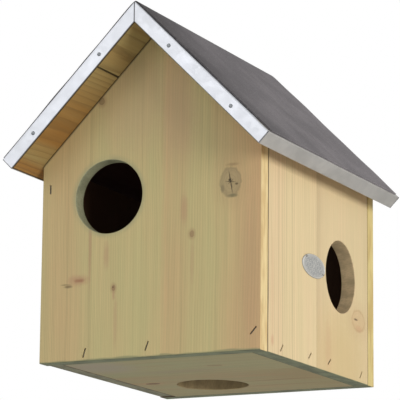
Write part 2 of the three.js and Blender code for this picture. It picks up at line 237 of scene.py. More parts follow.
class Finish(Nodes):
    """One material: a Principled shader whose inputs are worked out by expressions."""

    def __init__(self, name, **constants):
        self.material = bpy.data.materials.new(name)
        self.material.use_nodes = True
        super().__init__(self.material.node_tree)
        self.shader = self.tree.nodes.new("ShaderNodeBsdfPrincipled")
        self.output = self.tree.nodes.new("ShaderNodeOutputMaterial")
        self.show(Value(self, self.shader.outputs[0]))
        self.position = self.add("ShaderNodeTexCoord", out="Object")
        self.set(**constants)

    def show(self, surface):
        self.feed(self.output.inputs["Surface"], surface)

    def set(self, **inputs):
        for name, value in inputs.items():
            self.feed(self.shader.inputs[name.replace("_", " ")], value)

    def along(self, direction, offset=0.0):
        """The position's distance in a direction, in millimetres, less an offset."""
        settings = {"operation": "DOT_PRODUCT"}
        scaled = tuple(component / MM for component in direction)
        distance = self.add("ShaderNodeVectorMath", settings, [self.position, scaled], out="Value")
        return distance - offset

    def millimetres(self):
        """The position as a vector in millimetres."""
        sockets = {0: self.position, "Scale": 1 / MM}
        return self.add("ShaderNodeVectorMath", {"operation": "SCALE"}, sockets)

    def combine(self, x, y, z):
        return self.add("ShaderNodeCombineXYZ", None, [x, y, z])

    def noise(self, vector, scales, seed, detail=2.0, roughness=0.5):
        """Noise from 0 to 1 on a vector stretched by three scales and shifted by a seed."""
        shift = (seed * 3.17, seed * 7.31 + 1.0, seed * 5.23 + 2.0)
        settings = {"operation": "MULTIPLY_ADD"}
        placed = self.add("ShaderNodeVectorMath", settings, [vector, scales, shift])
        sockets = {"Vector": placed, "Scale": 1.0, "Detail": detail, "Roughness": roughness}
        return self.add("ShaderNodeTexNoise", None, sockets)

    def cells(self, vector, scale, out="Distance"):
        """Voronoi cells: the distance or the colour of the nearest cell."""
        return self.add("ShaderNodeTexVoronoi", None, {"Vector": vector, "Scale": scale}, out=out)

    def cell_value(self, vector, scale):
        """One random value from 0 to 1 for each Voronoi cell."""
        colour = self.cells(vector, scale, out="Color")
        return self.add("ShaderNodeSeparateColor", None, [colour])

    def mix(self, factor, first, second, blend="MIX"):
        """A colour between first and second."""
        settings = {"data_type": "RGBA", "blend_type": blend}
        colours = [c if isinstance(c, Value) else (*c, 1.0) for c in (first, second)]
        sockets = {0: factor, 6: colours[0], 7: colours[1]}
        return self.add("ShaderNodeMix", settings, sockets, out=2)

    def toned(self, colour, tone):
        """A colour multiplied by one value."""
        return self.mix(1.0, colour, self.combine(tone, tone, tone), "MULTIPLY")

    def bump(self, height, strength, distance):
        """Feeds a Bump node on a height into the shader's Normal."""
        sockets = {"Strength": strength, "Distance": distance, "Height": height}
        self.feed(self.shader.inputs["Normal"], self.add("ShaderNodeBump", None, sockets))


# ---- Timber ----

RING = [(0.0, 0.06), (0.35, 0.12), (0.68, 0.42), (0.86, 0.9), (0.94, 1.0), (1.0, 0.06)]

# What a board shows unless it says otherwise. Pink and shade are (share across, value), lines
# are (place across, half width, darkness), holes are (middle, radius), seams are places across.
TIMBER = {
    "body": "house",
    "slot": "gable_pine",
    "palette": "gable",
    "seed": 1.0,
    "pith": (0.0, 70.0),
    "lean": 0.02,
    "spacing": 3.4,
    "bend": 24.0,
    "mottle": 1.0,
    "contrast": 0.30,
    "pink": [(0.0, 0.3), (1.0, 0.3)],
    "shade": [(0.0, 1.0), (1.0, 1.0)],
    "knots": [],
    "marks": [],
    "spots": [],
    "lines": [],
    "holes": [],
    "seams": [],
    "stain": 0.0,
    "dark_inside": True,
    "hole_colour": (0.33, 0.245, 0.136),
    "hole_tint": 0.0,
    "foot": (0.235, 0.255, 0.145),
    "flank": None,
    "gable_top": False,
    "roof_over": False,
}


class Timber:
    """How one board lies and what its wood shows. Places on it are (across, along the grain)."""

    def __init__(self, node, grain, across, outward, **looks):
        self.node = node
        self.grain = np.array(grain, float)
        self.across = np.array(across, float)
        self.outward = np.array(outward, float)
        for name, value in {**TIMBER, **looks}.items():
            setattr(self, name, value)

    def local(self, points):
        """Points in millimetres as (across, along, depth) columns."""
        return np.stack(
            [points @ self.across, points @ self.grain, -(points @ self.outward)], axis=-1
        )


def scaled(colour, *shares):
    """A colour whose channels are multiplied by one share, or each by its own."""
    return tuple(channel * share for channel, share in zip(colour, shares * (3 // len(shares))))


def mark_distance(u, w, mark, wobble):
    """Distance from a mark's middle in units of its own half-axes, with an uneven rim."""
    across = (u - mark["at"][0]) / mark["size"][0]
    along = (w - mark["at"][1]) / mark["size"][1]
    return (across * across + along * along).root() + wobble


def pine(timber, palette, extents):
    """A solid wood: growth rings round a wandering pith behind the face, fine streaks along the
    grain, tints across the board, knots that part the grain, stained ends and bored walls."""
    t = timber
    low, high = (corner.tolist() for corner in extents)
    thickness = high[2] - low[2]
    f = Finish(t.node + "_pine", Roughness=0.7, Specular_IOR_Level=0.32)
    u = f.along(t.across)
    w = f.along(t.grain)
    v = f.along(-t.outward, low[2])
    spot = f.combine(u, v, w)
    bend = f.noise(spot, (0.006, 0.006, 0.0022), t.seed, 1.0) - 0.5
    sway = f.noise(spot, (0.045, 0.045, 0.009), t.seed + 3, 2.0) - 0.5
    ripple = f.noise(spot, (0.25, 0.25, 0.016), t.seed + 5, 2.0) - 0.5
    streak = f.noise(spot, (1.5, 1.5, 0.012), t.seed + 8, 3.0, 0.65)
    fibre = f.noise(spot, (5.0, 5.0, 0.07), t.seed + 11, 2.0, 0.6)
    band = f.noise(spot, (0.42, 0.42, 0.005), t.seed + 27, 2.0, 0.6)
    cloud = f.noise(spot, (0.055, 0.055, 0.010), t.seed + 14, 3.0)
    wobble = (f.noise(spot, (0.25, 0.25, 0.25), t.seed + 17, 2.0) - 0.5) * 0.32

    # Rings: distance from a pith that wanders, pushed aside by each knot.
    parted = u
    rims = []
    for knot in t.knots:
        d = mark_distance(u, w, knot, wobble)
        rims.append((knot, d))
        reach = d * d * 0.5 + 1.0
        parted = parted - (u - knot["at"][0]) * 0.93 / (reach * reach)
    aside = parted - t.pith[0] + w * t.lean + bend * t.bend + sway * 5.0
    deep = v - t.pith[1]
    radius = (aside * aside + deep * deep).root() + ripple * 1.1
    count = radius / t.spacing + (bend + sway) * 0.8
    late = count.fract().ramp(RING)
    strength = f.noise(spot, (0.03, 0.03, 0.004), t.seed + 21, 2.0).step(0.3, 0.7, 0.45, 1.0)
    late = late * strength

    # Ground colour: pale and pink bands, late wood, uneven tone and dark lines.
    share = (u + sway * 9.0 - low[0]) / (high[0] - low[0])
    pink = share.ramp(t.pink) + (cloud - 0.5) * 0.75 * t.mottle + (streak - 0.5) * 0.35
    colour = f.mix(pink.least(1.0).greatest(0.0), palette["pale"], palette["pink"])
    colour = f.mix(late * t.contrast, colour, palette["late"])
    uneven = (streak - 0.5) * 0.22 + (fibre - 0.5) * 0.12
    uneven = uneven + (cloud - 0.5) * 0.1 + (band - 0.5) * 0.2
    tone = share.ramp(t.shade) * (0.955 + uneven * t.mottle)
    for place, half, dark in t.lines:
        near = (u + sway * 4.0 + ripple * 0.5 - place).size()
        tone = tone * (1.0 - near.step(half * 1.6, half * 0.3) * dark)
    colour = f.toned(colour, tone)

    # Marks, then knots with their halo, heart, rim and cracks, then small dark spots.
    for mark in t.marks:
        d = mark_distance(u, w, mark, wobble * 1.6 + (streak - 0.5) * 0.5)
        colour = f.mix(d.step(1.25, 0.25) * mark["strength"], colour, mark["colour"])
    height = late * -0.35 + fibre * 0.22 + streak * 0.35
    for knot, d in rims:
        halo = d.step(2.3, 0.9) * knot.get("halo", 0.45)
        colour = f.mix(halo, colour, HALO)
        core = d.step(1.08, 0.86)
        rings = (d * knot.get("rings", 3.0)).fract().ramp(RING)
        heart = f.mix(rings * 0.55, knot["colour"], knot["dark"])
        colour = f.mix(core * knot.get("cover", 0.9), colour, heart)
        rim = core * (1.0 - d.step(0.92, 0.68))
        colour = f.mix(rim * knot.get("rim", 0.5), colour, knot["dark"])
        for angle, reach, width in knot.get("cracks", []):
            sine, cosine = math.sin(math.radians(angle)), math.cos(math.radians(angle))
            du = u - knot["at"][0] + wobble * 3.0
            dw = w - knot["at"][1] + wobble * 4.0
            off_line = (du * sine - dw * cosine).size()
            taper = 1.0 - d.step(reach * 0.25, reach)
            crack = off_line.step(width, width * 0.25) * taper
            colour = f.mix(crack * 0.85, colour, CRACK)
            height = height - crack * 1.6
        height = height - rim * 0.8

    for mark in t.spots:
        d = mark_distance(u, w, mark, wobble * 1.2)
        colour = f.mix(d.step(1.2, 0.4) * mark["strength"], colour, mark["colour"])

    # Bored walls, damp feet, end grain, planed flank, and painted shade under the roof and in the
    # room.
    for hole, reach in t.holes:
        from_axis = ((u - hole[0]) * (u - hole[0]) + (w - hole[1]) * (w - hole[1])).root()
        lip = from_axis.step(reach + 6.5, reach) * (cloud.step(0.3, 0.75) * 0.6 + 0.25)
        colour = f.mix(lip * t.hole_tint, colour, LIP)
        bored = from_axis.step(reach + 0.55, reach + 0.15)
        saw = f.noise(f.combine(u, v * 0.35, w), (0.9, 0.9, 0.9), t.seed + 30, 3.0)
        blotch = f.noise(spot, (0.09, 0.05, 0.09), t.seed + 33, 3.0)
        wall = f.mix(blotch.step(0.38, 0.68), t.hole_colour, scaled(t.hole_colour, 0.72))
        wall = f.mix((saw - 0.4).greatest(0.0) * 1.1, wall, scaled(t.hole_colour, 0.45))
        colour = f.mix(bored, colour, wall)
        height = height + bored * saw * 1.2

    if t.stain:
        creep = f.noise(f.combine(u, 0.0, 0.0), (0.022, 1.0, 1.0), t.seed + 40, 2.0)
        edge = w - low[1] - creep.step(0.35, 0.75) * 2.4 * t.stain
        colour = f.mix(edge.step(1.2, -0.4) * 0.7, colour, DAMP)
    foot = (w - low[1]).step(0.75, 0.35)
    head = (high[1] - w).step(0.75, 0.35)
    patch = f.noise(spot, (0.05, 0.12, 0.1), t.seed + 44, 3.0)
    pores = f.noise(spot, (0.9, 0.9, 0.2), t.seed + 47, 2.0)
    end = f.mix(patch.step(0.35, 0.7), t.foot, scaled(t.foot, 0.6))
    end = f.mix(late * 0.35, end, scaled(t.foot, 0.5))
    end = f.mix((pores - 0.45).greatest(0.0), end, PORE)
    colour = f.mix(foot.greatest(head), colour, end)
    if t.flank:
        outside = (u - high[0]).step(-0.8, -0.15)
        patch = f.noise(spot, (0.10, 0.10, 0.030), t.seed + 50, 3.0).step(0.38, 0.62)
        flank = f.mix(patch, t.flank, scaled(t.flank, 0.83, 0.76, 0.70))
        flank = f.mix(late * t.contrast, flank, palette["late"])
        colour = f.mix(outside, colour, f.toned(flank, tone))
    # Painted shadow: a dark line along the gable's top edge, under the roof boards.
    if t.gable_top:
        below_roof = RIDGE - 0.4 - (w + u.size())
        colour = f.mix(below_roof.step(2.6, 0.6) * 0.8, colour, SHADOW)
    if t.roof_over:
        # Painted shade: the roof's underside goes near-black over the room, and a few millimetres
        # past the door's outer face.
        x = f.along(X)
        room_shade = x.step(RIGHT_FACE + 0.2, RIGHT_FACE - 0.8)
        room_shade = room_shade * x.step(-RIGHT_FACE - 5.2, -RIGHT_FACE - 4.2)
        room_shade = room_shade * w.step(FRONT_FACE - 0.9, FRONT_FACE + 0.4)
        room_shade = room_shade * w.step(REAR_FACE + 0.9, REAR_FACE - 0.4)
        colour = f.mix(room_shade, colour, ROOM_SHADE)
        # Dark joint lines at the boards' long edges, and painted shadow across the front end behind
        # the verge edging.
        joint = (u - low[0]).least(high[0] - u).step(1.15, 0.55)
        behind = (w - low[1]).step(1.6, 0.9)
        colour = f.mix(joint.greatest(behind) * 0.85, colour, JOINT_AND_SHADOW)
    # Painted shade: the inner faces of the box get a near-black brown for the dark inside.
    if t.dark_inside:
        inner_shade = v.step(thickness - 0.9, thickness - 0.3)
        colour = f.mix(inner_shade * INSIDE_COVER, colour, palette["inside"])
    f.set(Base_Color=colour)
    f.set(Roughness=0.66 + (streak - 0.5) * 0.16 + late * -0.08)
    f.bump(height, 0.35, 0.0004)
    return f.material


# ---- Other finishes ----


def zinc(name, tint, dull, roughness, verge=False):
    """Galvanised sheet: faint crystal patches, soft smears and fine scratches. A verge gets painted
    shade: dark along its cut edge, at its mitre on the ridge and at its lower end."""
    f = Finish(name, Metallic=0.82, Specular_IOR_Level=0.5)
    spot = f.millimetres()
    wander = f.noise(spot, (0.12, 0.12, 0.12), 2.0, 3.0)
    patch = f.cell_value(spot, 0.19)
    smear = f.noise(spot, (0.03, 0.012, 0.03), 5.0, 4.0)
    grit = f.noise(spot, (1.6, 1.6, 1.6), 9.0, 2.0)
    shine = f.mix(smear.step(0.3, 0.75), tint, dull)
    tone = 0.965 + (patch - 0.5) * 0.07 + (grit - 0.5) * 0.13 + (wander - 0.5) * 0.05
    colour = f.toned(shine, tone)
    if verge:
        # Painted shade: dark lines along the verge's lower edge, in the mitre at the ridge and at
        # its lower end.
        x = f.along(X).size()
        below = RIDGE - f.along(Z)
        cut = ((x - below) * SLANT).step(0.95, 0.4)
        mitre = x.step(0.85, 0.35)
        end = (EAVE_OUTER - (x + below) * SLANT).step(1.0, 0.5)
        colour = f.mix(cut.greatest(mitre).greatest(end) * 0.85, colour, ZINC_GAP_SHADE)
    f.set(Base_Color=colour)
    f.set(Roughness=roughness + (patch - 0.5) * 0.12 + (grit - 0.5) * 0.10 + smear * 0.08)
    f.bump(wander * 0.6 + grit * 0.12 + patch * 0.05, 0.16, 0.0005)
    return f.material


def steel(name, colour, rust, roughness=0.5):
    """Dull drawn steel with freckles of rust."""
    f = Finish(name, Metallic=0.75)
    spot = f.millimetres()
    freckle = f.noise(spot, (0.9, 0.9, 0.9), 3.0, 4.0, 0.6)
    drawn = f.noise(spot, (3.0, 3.0, 3.0), 6.0, 2.0)
    shade = f.mix(freckle.step(0.45, 0.68), colour, rust)
    tone = 0.85 + drawn * 0.3
    f.set(Base_Color=f.toned(shade, tone))
    f.set(Roughness=roughness + (drawn - 0.5) * 0.2 + freckle.step(0.45, 0.7) * 0.2)
    f.bump(freckle + drawn * 0.3, 0.25, 0.0003)
    return f.material


def roofing_felt(look):
    """Mineral felt: packed granules, faint bands down the slope and a few pale flecks, with painted
    shade that is darkest at the front of the ridge and paler towards the rear and the eaves."""
    f = Finish("roofing_felt", Specular_IOR_Level=0.25)
    spot = f.millimetres()
    y = f.along(Y)
    per_mm = 1.0 / look.granule / 1000.0
    grain = f.cell_value(spot, per_mm)
    packed = f.cells(spot, per_mm)
    bands = f.noise(f.combine(0.0, y, 0.0), (1.0, 0.10, 1.0), 4.0, 4.0, 0.6)
    down = f.noise(spot, (0.02, 0.28, 0.02), 6.0, 3.0)
    patch = f.noise(spot, (0.02, 0.016, 0.02), 8.0, 4.0)
    fleck = grain.step(0.93, 0.97)
    base = f.mix(patch.step(0.3, 0.7), look.colour, look.colour_worn)
    # Painted shade: the felt darkens towards the front of the ridge and pales towards the rear and
    # the eaves.
    rearwards = (y - VERGE_FRONT) / (VERGE_REAR - VERGE_FRONT)
    sweep = rearwards + (RIDGE + 22.0 - f.along(Z)) / 630.0
    painted_shade_sweep = sweep.step(0.0, 0.5, 0.50, 1.13) + sweep.step(0.45, 1.15, 0.0, 0.27)
    tone = (0.80 + grain * 0.24 + (bands - 0.5) * 0.22 + (down - 0.5) * 0.16) * painted_shade_sweep
    f.set(Base_Color=f.mix(fleck * 0.22, f.toned(base, tone), PALE_GRANULE))
    f.set(Roughness=0.9 + (grain - 0.5) * 0.1)
    f.bump((1.0 - packed) * 0.5 + grain * 0.5 + down * 0.4, 0.5, 0.0005)
    return f.material


def alloy(look):
    """Soft grey alloy, dark in its hollows and rubbed bright on what stands up."""
    f = Finish("tag_alloy", Metallic=0.55, Specular_IOR_Level=0.45)
    spot = f.millimetres()
    height = f.add("ShaderNodeAttribute", {"attribute_name": "standing"}, out="Fac")
    cloud = f.noise(spot, (0.3, 0.3, 0.3), 4.0, 4.0, 0.6)
    grit = f.noise(spot, (2.2, 2.2, 2.2), 7.0, 2.0)
    shade = f.mix(height.step(0.2, 0.7), look.hollow, look.colour)
    tone = 0.86 + (cloud - 0.5) * 0.4 + (grit - 0.5) * 0.2 + 0.14
    f.set(Base_Color=f.toned(shade, tone))
    f.set(Roughness=0.46 + (grit - 0.5) * 0.2 + (cloud - 0.5) * 0.15)
    f.bump(cloud * 0.6 + grit * 0.3, 0.2, 0.0004)
    return f.material


# ---- Mesh making ----


def grid_faces(rows, columns, wrap_rows=False, wrap_columns=False):
    """Quads of a grid numbered row by row, as one array."""
    r = np.arange(rows if wrap_rows else rows - 1)
    c = np.arange(columns if wrap_columns else columns - 1)
    r, c = np.meshgrid(r, c, indexing="ij")
    next_r, next_c = (r + 1) % rows, (c + 1) % columns
    near, far = r * columns, next_r * columns
    return np.stack([near + c, far + c, far + next_c, near + next_c], axis=-1).reshape(-1, 4)


def make_piece(name, points, faces, material, body, nodes, sharp=35.0):
    """An object from points in millimetres and faces: welded, facing outwards, smooth."""
    mesh = bpy.data.meshes.new(name)
    mesh.from_pydata((np.asarray(points, float) * MM).tolist(), [], [list(face) for face in faces])
    work = bmesh.new()
    work.from_mesh(mesh)
    bmesh.ops.remove_doubles(work, verts=work.verts, dist=MERGE)
    bmesh.ops.recalc_face_normals(work, faces=work.faces)
    work.to_mesh(mesh)
    work.free()
    return place_piece(name, mesh, material, body, nodes, sharp)


def merged_copy(node, merge):
    """A copy of a CAD node's mesh, and a bmesh of it: doubles merged, flat faces joined."""
    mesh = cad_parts[node].data.copy()
    work = bmesh.new()
    work.from_mesh(mesh)
    bmesh.ops.remove_doubles(work, verts=work.verts, dist=merge)
    bmesh.ops.dissolve_limit(work, angle_limit=FLAT_WITHIN, verts=work.verts, edges=work.edges)
    return mesh, work


def place_piece(name, mesh, material, body, nodes, sharp):
    """The mesh as a piece that stands for some CAD nodes and rides on their body."""
    mesh.materials.clear()
    mesh.materials.append(material)
    mesh.shade_smooth()
    mesh.set_sharp_from_angle(angle=math.radians(sharp))
    piece = bpy.data.objects.new(name, mesh)
    bpy.context.scene.collection.objects.link(piece)
    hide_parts(*nodes)
    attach(piece, body)
    return piece


def add_bevel(piece, width, segments=2, weighted=False):
    """Rounds a piece's edges: those above 30 degrees, or those that carry a weight."""
    bevel = piece.modifiers.new("eased_edges", "BEVEL")
    bevel.width = width
    bevel.segments = segments
    bevel.limit_method = "WEIGHT" if weighted else "ANGLE"
    bevel.angle_limit = BEVEL_ABOVE
    bevel.use_clamp_overlap = not weighted
    bevel.miter_outer = "MITER_SHARP"
    flat = piece.modifiers.new("flat_faces", "WEIGHTED_NORMAL")
    flat.weight = 100
    flat.keep_sharp = True


def rounded(corners, radii, steps=4):
    """A closed outline through corners, each turned into an arc of its own radius: the points
    of a quadratic curve between the places where the arc leaves the two sides."""
    corners = np.array(corners, float)
    before = np.roll(corners, 1, axis=0) - corners
    after = np.roll(corners, -1, axis=0) - corners
    before /= np.linalg.norm(before, axis=1, keepdims=True)
    after /= np.linalg.norm(after, axis=1, keepdims=True)
    radii = np.array(radii, float)[:, None, None]
    t = np.linspace(0, 1, steps)[None, :, None]
    start = corners[:, None] + before[:, None] * radii
    end = corners[:, None] + after[:, None] * radii
    arcs = start * (1 - t) ** 2 + 2 * corners[:, None] * t * (1 - t) + end * t**2
    return arcs.reshape(-1, 2)


def on_slope(side, down, out, y):
    """Points at distances down a slope and out from the roof's underside, at a place along Y."""
    x = side * (down + out) * SLANT
    z = RIDGE - (down - out) * SLANT
    return np.stack(np.broadcast_arrays(x, y, z), axis=-1)


def turned(profile, outward, top, around=32, relief=None):
    """A turned shape: radius and depth below its top, spun about the outward axis. The ends
    lie on the axis, so the poles close. Relief lowers the surface at a place across it."""
    radius, depth = np.array(profile, float).T
    turn = np.linspace(0, 2 * np.pi, around, endpoint=False)
    outward = np.array(outward, float)
    first = np.array([0.0, 0.0, 1.0])
    second = np.cross(outward, first)
    x = radius[:, None] * np.cos(turn)
    y = radius[:, None] * np.sin(turn)
    sunk = depth[:, None] + (relief(x, y, depth[:, None]) if relief else 0 * x)
    points = np.array(top) + x[..., None] * first + y[..., None] * second
    points = points - sunk[..., None] * outward
    return points.reshape(-1, 3), grid_faces(len(radius), around, wrap_columns=True)


def round_head(head, height, shank, length, rings=14):
    """A domed head as a quarter ellipse, a flat underside, a shank and a point."""
    t = np.linspace(0, np.pi / 2, rings)
    dome = np.stack([head * np.sin(t), height * (1 - np.cos(t)) * 0.92], axis=1)
    under = [[head * 0.985, height * 0.97], [head * 0.95, height], [shank * 1.25, height]]
    rod = [[shank, height + 0.15], [shank, length - 3], [shank * 0.4, length - 1], [0, length]]
    return np.concatenate([dome, under, rod])


def cross_recess(half, width, depth):
    """A cross-shaped recess: two slots with soft walls, deepest in the middle."""

    def relief(x, y, below):
        slot_x = np.clip((width - np.abs(y)) / 0.18, 0, 1) * np.clip((half - np.abs(x)) / 0.3, 0, 1)
        slot_y = np.clip((width - np.abs(x)) / 0.18, 0, 1) * np.clip((half - np.abs(y)) / 0.3, 0, 1)
        slope = 1 - np.hypot(x, y) / half * 0.6
        return np.maximum(slot_x, slot_y) * depth * np.clip(slope, 0, 1) * (below < 1.3)

    return relief


# ---- Boards ----


def eased_board(timber, look, palettes):
    """A board from its CAD node: doubles merged, flat faces joined, and its long edges and the
    rims of its holes eased. Edges on a glued seam are only just broken."""
    t = timber
    mesh, work = merged_copy(t.node, BOARD_MERGE)
    work.verts.ensure_lookup_table()
    work.edges.ensure_lookup_table()
    points = np.array([vertex.co for vertex in work.verts]) / MM
    local = t.local(points)
    low, high = local.min(0), local.max(0)
    ends = np.array([[edge.verts[0].index, edge.verts[1].index] for edge in work.edges])
    pairs = local[ends]
    middle = pairs.mean(axis=1)
    on_low = (np.abs(pairs - low) < 0.05).all(axis=1)
    on_high = (np.abs(pairs - high) < 0.05).all(axis=1)
    planes = on_low.sum(axis=1) + on_high.sum(axis=1)
    faces = on_low[:, 2] | on_high[:, 2]
    weight = (planes >= 2).astype(float)
    for hole, radius in t.holes:
        reach = np.hypot(pairs[..., 0] - hole[0], pairs[..., 1] - hole[1])
        weight[(np.abs(reach - radius) < 0.3).all(axis=1) & faces] = RIM_WEIGHT
    for seam in t.seams:
        weight[(np.abs(middle[:, 0] - seam) < 0.05) & (planes >= 2)] = SEAM_WEIGHT
    layer = work.edges.layers.float.new("bevel_weight_edge")
    for edge, value in zip(work.edges, weight):
        edge[layer] = value
    work.to_mesh(mesh)
    work.free()
    material = pine(t, palettes[t.palette], (low, high))
    piece = place_piece(f"{t.node}_planed", mesh, material, t.body, [t.node], 30.0)
    add_bevel(piece, look.edge_round, weighted=True)
    return piece


def palettes_of(look):
    """The colours of each timber, from the panel's settings."""
    palettes = {}
    for name in ("gable", "side", "floor", "roof"):
        palettes[name] = {
            "pale": getattr(look, name + "_pale"),
            "pink": getattr(look, name + "_pink"),
            "late": ROOF_LATE if name == "roof" else look.late,
            "inside": look.inside,
        }
    return palettes


# Cracks of a knot: (angle to the width, share of the knot reached, half width).
STEEP_AND_LEVEL = [(80, 1.0, 0.6), (20, 0.8, 0.5)]


def mark_at(across, along, half_across, half_along, colour, strength):
    """A soft patch of colour on a board's face: its middle, its half-axes and its strength."""
    return {
        "at": (across, along),
        "size": (half_across, half_along),
        "colour": colour,
        "strength": strength,
    }


def knot_at(across, along, half_across, half_along, colour=BROWN, dark=DARK, **looks):
    """A knot on a board's face: its middle, its half-axes and the colours of its heart."""
    place = {"at": (across, along), "size": (half_across, half_along)}
    return {**place, "colour": colour, "dark": dark, **looks}


def gable_timbers():
    """The two front and the two back boards."""
    front = {
        "hole_colour": (0.40, 0.395, 0.245), "hole_tint": 0.8, "stain": 1.0, "contrast": 0.2,
        "gable_top": True, "seams": [9.0],
    }
    back = {"seams": [-18.5], "stain": 0.8}
    return [
        Timber(
            "front_board_left", Z, X, -Y, seed=1.3, pith=(-230.0, 40.0), lean=0.01, spacing=2.5,
            holes=[(FRONT_HOLE, HOLE_RADIUS)], **front,
            pink=[(0.0, 0.35), (0.16, 0.55), (0.3, 0.4), (0.47, 0.15), (0.8, 0.12), (1.0, 0.2)],
            lines=[(-66.0, 1.6, 0.10), (-91.0, 1.0, 0.07), (-12.0, 0.8, 0.06)],
            knots=[
                knot_at(-40.4, 67.2, 2.0, 2.9, (0.30, 0.15, 0.08), BROWN,
                     cover=0.5, halo=0.55, rim=0.0),
                knot_at(-56.3, 248.1, 3.0, 3.6, (0.22, 0.17, 0.08), (0.14, 0.10, 0.05),
                     cover=0.5, halo=0.6, rim=0.2),
            ],
            spots=[mark_at(-40.9, 67.9, 0.9, 1.1, DARK, 0.7)],
            marks=[
                mark_at(-40.2, 60.5, 1.5, 5.5, ROSE, 0.5),
                mark_at(-92.0, 73.6, 6.0, 0.9, DARK, 0.45),
                mark_at(-22.0, 250.0, 50.0, 62.0, DUSK, 0.4),
                mark_at(-78.5, 77.0, 13.0, 6.0, ROSE, 0.55),
                mark_at(-77.0, 76.6, 6.0, 2.0, (0.34, 0.14, 0.07), 0.6),
                mark_at(-89.0, 71.5, 5.0, 1.6, DARK, 0.6),
                mark_at(-66.0, 112.0, 1.9, 52.0, ROSE, 0.45),
                mark_at(-48.5, 99.0, 3.6, 15.0, ROSE, 0.4),
                mark_at(-38.0, 36.0, 2.4, 32.0, ROSE, 0.28),
            ],
        ),
        Timber(
            "front_board_right", Z, X, -Y, seed=2.6, pith=(210.0, 60.0), lean=-0.01, spacing=2.6,
            flank=(0.785, 0.615, 0.315), **front,
            pink=[(0.0, 0.25), (0.05, 0.6), (0.2, 0.5), (0.34, 0.14), (0.5, 0.15), (0.62, 0.4),
                  (0.8, 0.7), (1.0, 1.0)],
            lines=[(66.0, 0.9, 0.08), (30.0, 0.8, 0.06)],
            knots=[
                knot_at(80.2, 157.8, 11.0, 14.6, (0.40, 0.32, 0.18), (0.24, 0.18, 0.09),
                     cover=0.58, halo=0.22, rim=0.22, rings=4.0,
                     cracks=[(101, 0.95, 0.85), (172, 0.6, 0.5), (38, 0.4, 0.5)]),
                knot_at(40.9, 112.0, 2.4, 3.2, (0.30, 0.17, 0.09), BROWN,
                     cover=0.45, halo=0.5, rim=0.0),
            ],
            marks=[
                mark_at(26.0, 232.0, 24.0, 62.0, DUSK, 0.45),
                mark_at(82.0, 174.0, 7.5, 1.7, BROWN, 0.4),
                mark_at(32.3, 136.0, 4.6, 17.0, ROSE, 0.42),
                mark_at(41.5, 86.0, 2.4, 26.0, ROSE, 0.25),
                mark_at(100.0, 66.0, 11.0, 90.0, ROSE, 0.2),
            ],
            spots=[
                mark_at(79.4, 159.6, 1.9, 1.7, (0.05, 0.038, 0.02), 0.9),
                mark_at(86.4, 155.4, 2.0, 1.3, (0.09, 0.065, 0.03), 0.8),
                mark_at(82.6, 144.6, 5.6, 2.0, (0.17, 0.165, 0.085), 0.65),
                mark_at(72.0, 152.0, 2.2, 4.0, (0.22, 0.18, 0.10), 0.5),
            ],
        ),
        Timber(
            "back_board_left", Z, X, Y, seed=3.9, pith=(-80.0, 80.0), spacing=3.5, **back,
            pink=[(0.0, 0.2), (0.35, 0.55), (0.6, 0.2), (1.0, 0.4)],
            knots=[knot_at(-66.0, 128.0, 6.5, 8.5, halo=0.5, cracks=STEEP_AND_LEVEL)],
            marks=[mark_at(-95.0, 60.0, 3.0, 28.0, ROSE, 0.3)],
        ),
        Timber(
            "back_board_right", Z, X, Y, seed=4.4, pith=(30.0, 90.0), lean=-0.03, spacing=3.1,
            flank=(0.69, 0.565, 0.24), **back,
            pink=[(0.0, 0.5), (0.3, 0.2), (0.7, 0.3), (1.0, 0.05)],
            knots=[
                knot_at(58.0, 92.0, 7.5, 9.0, halo=0.5, cracks=[(100, 1.0, 0.6), (30, 0.8, 0.5)]),
                knot_at(12.0, 44.0, 2.4, 3.0),
            ],
        ),
    ]


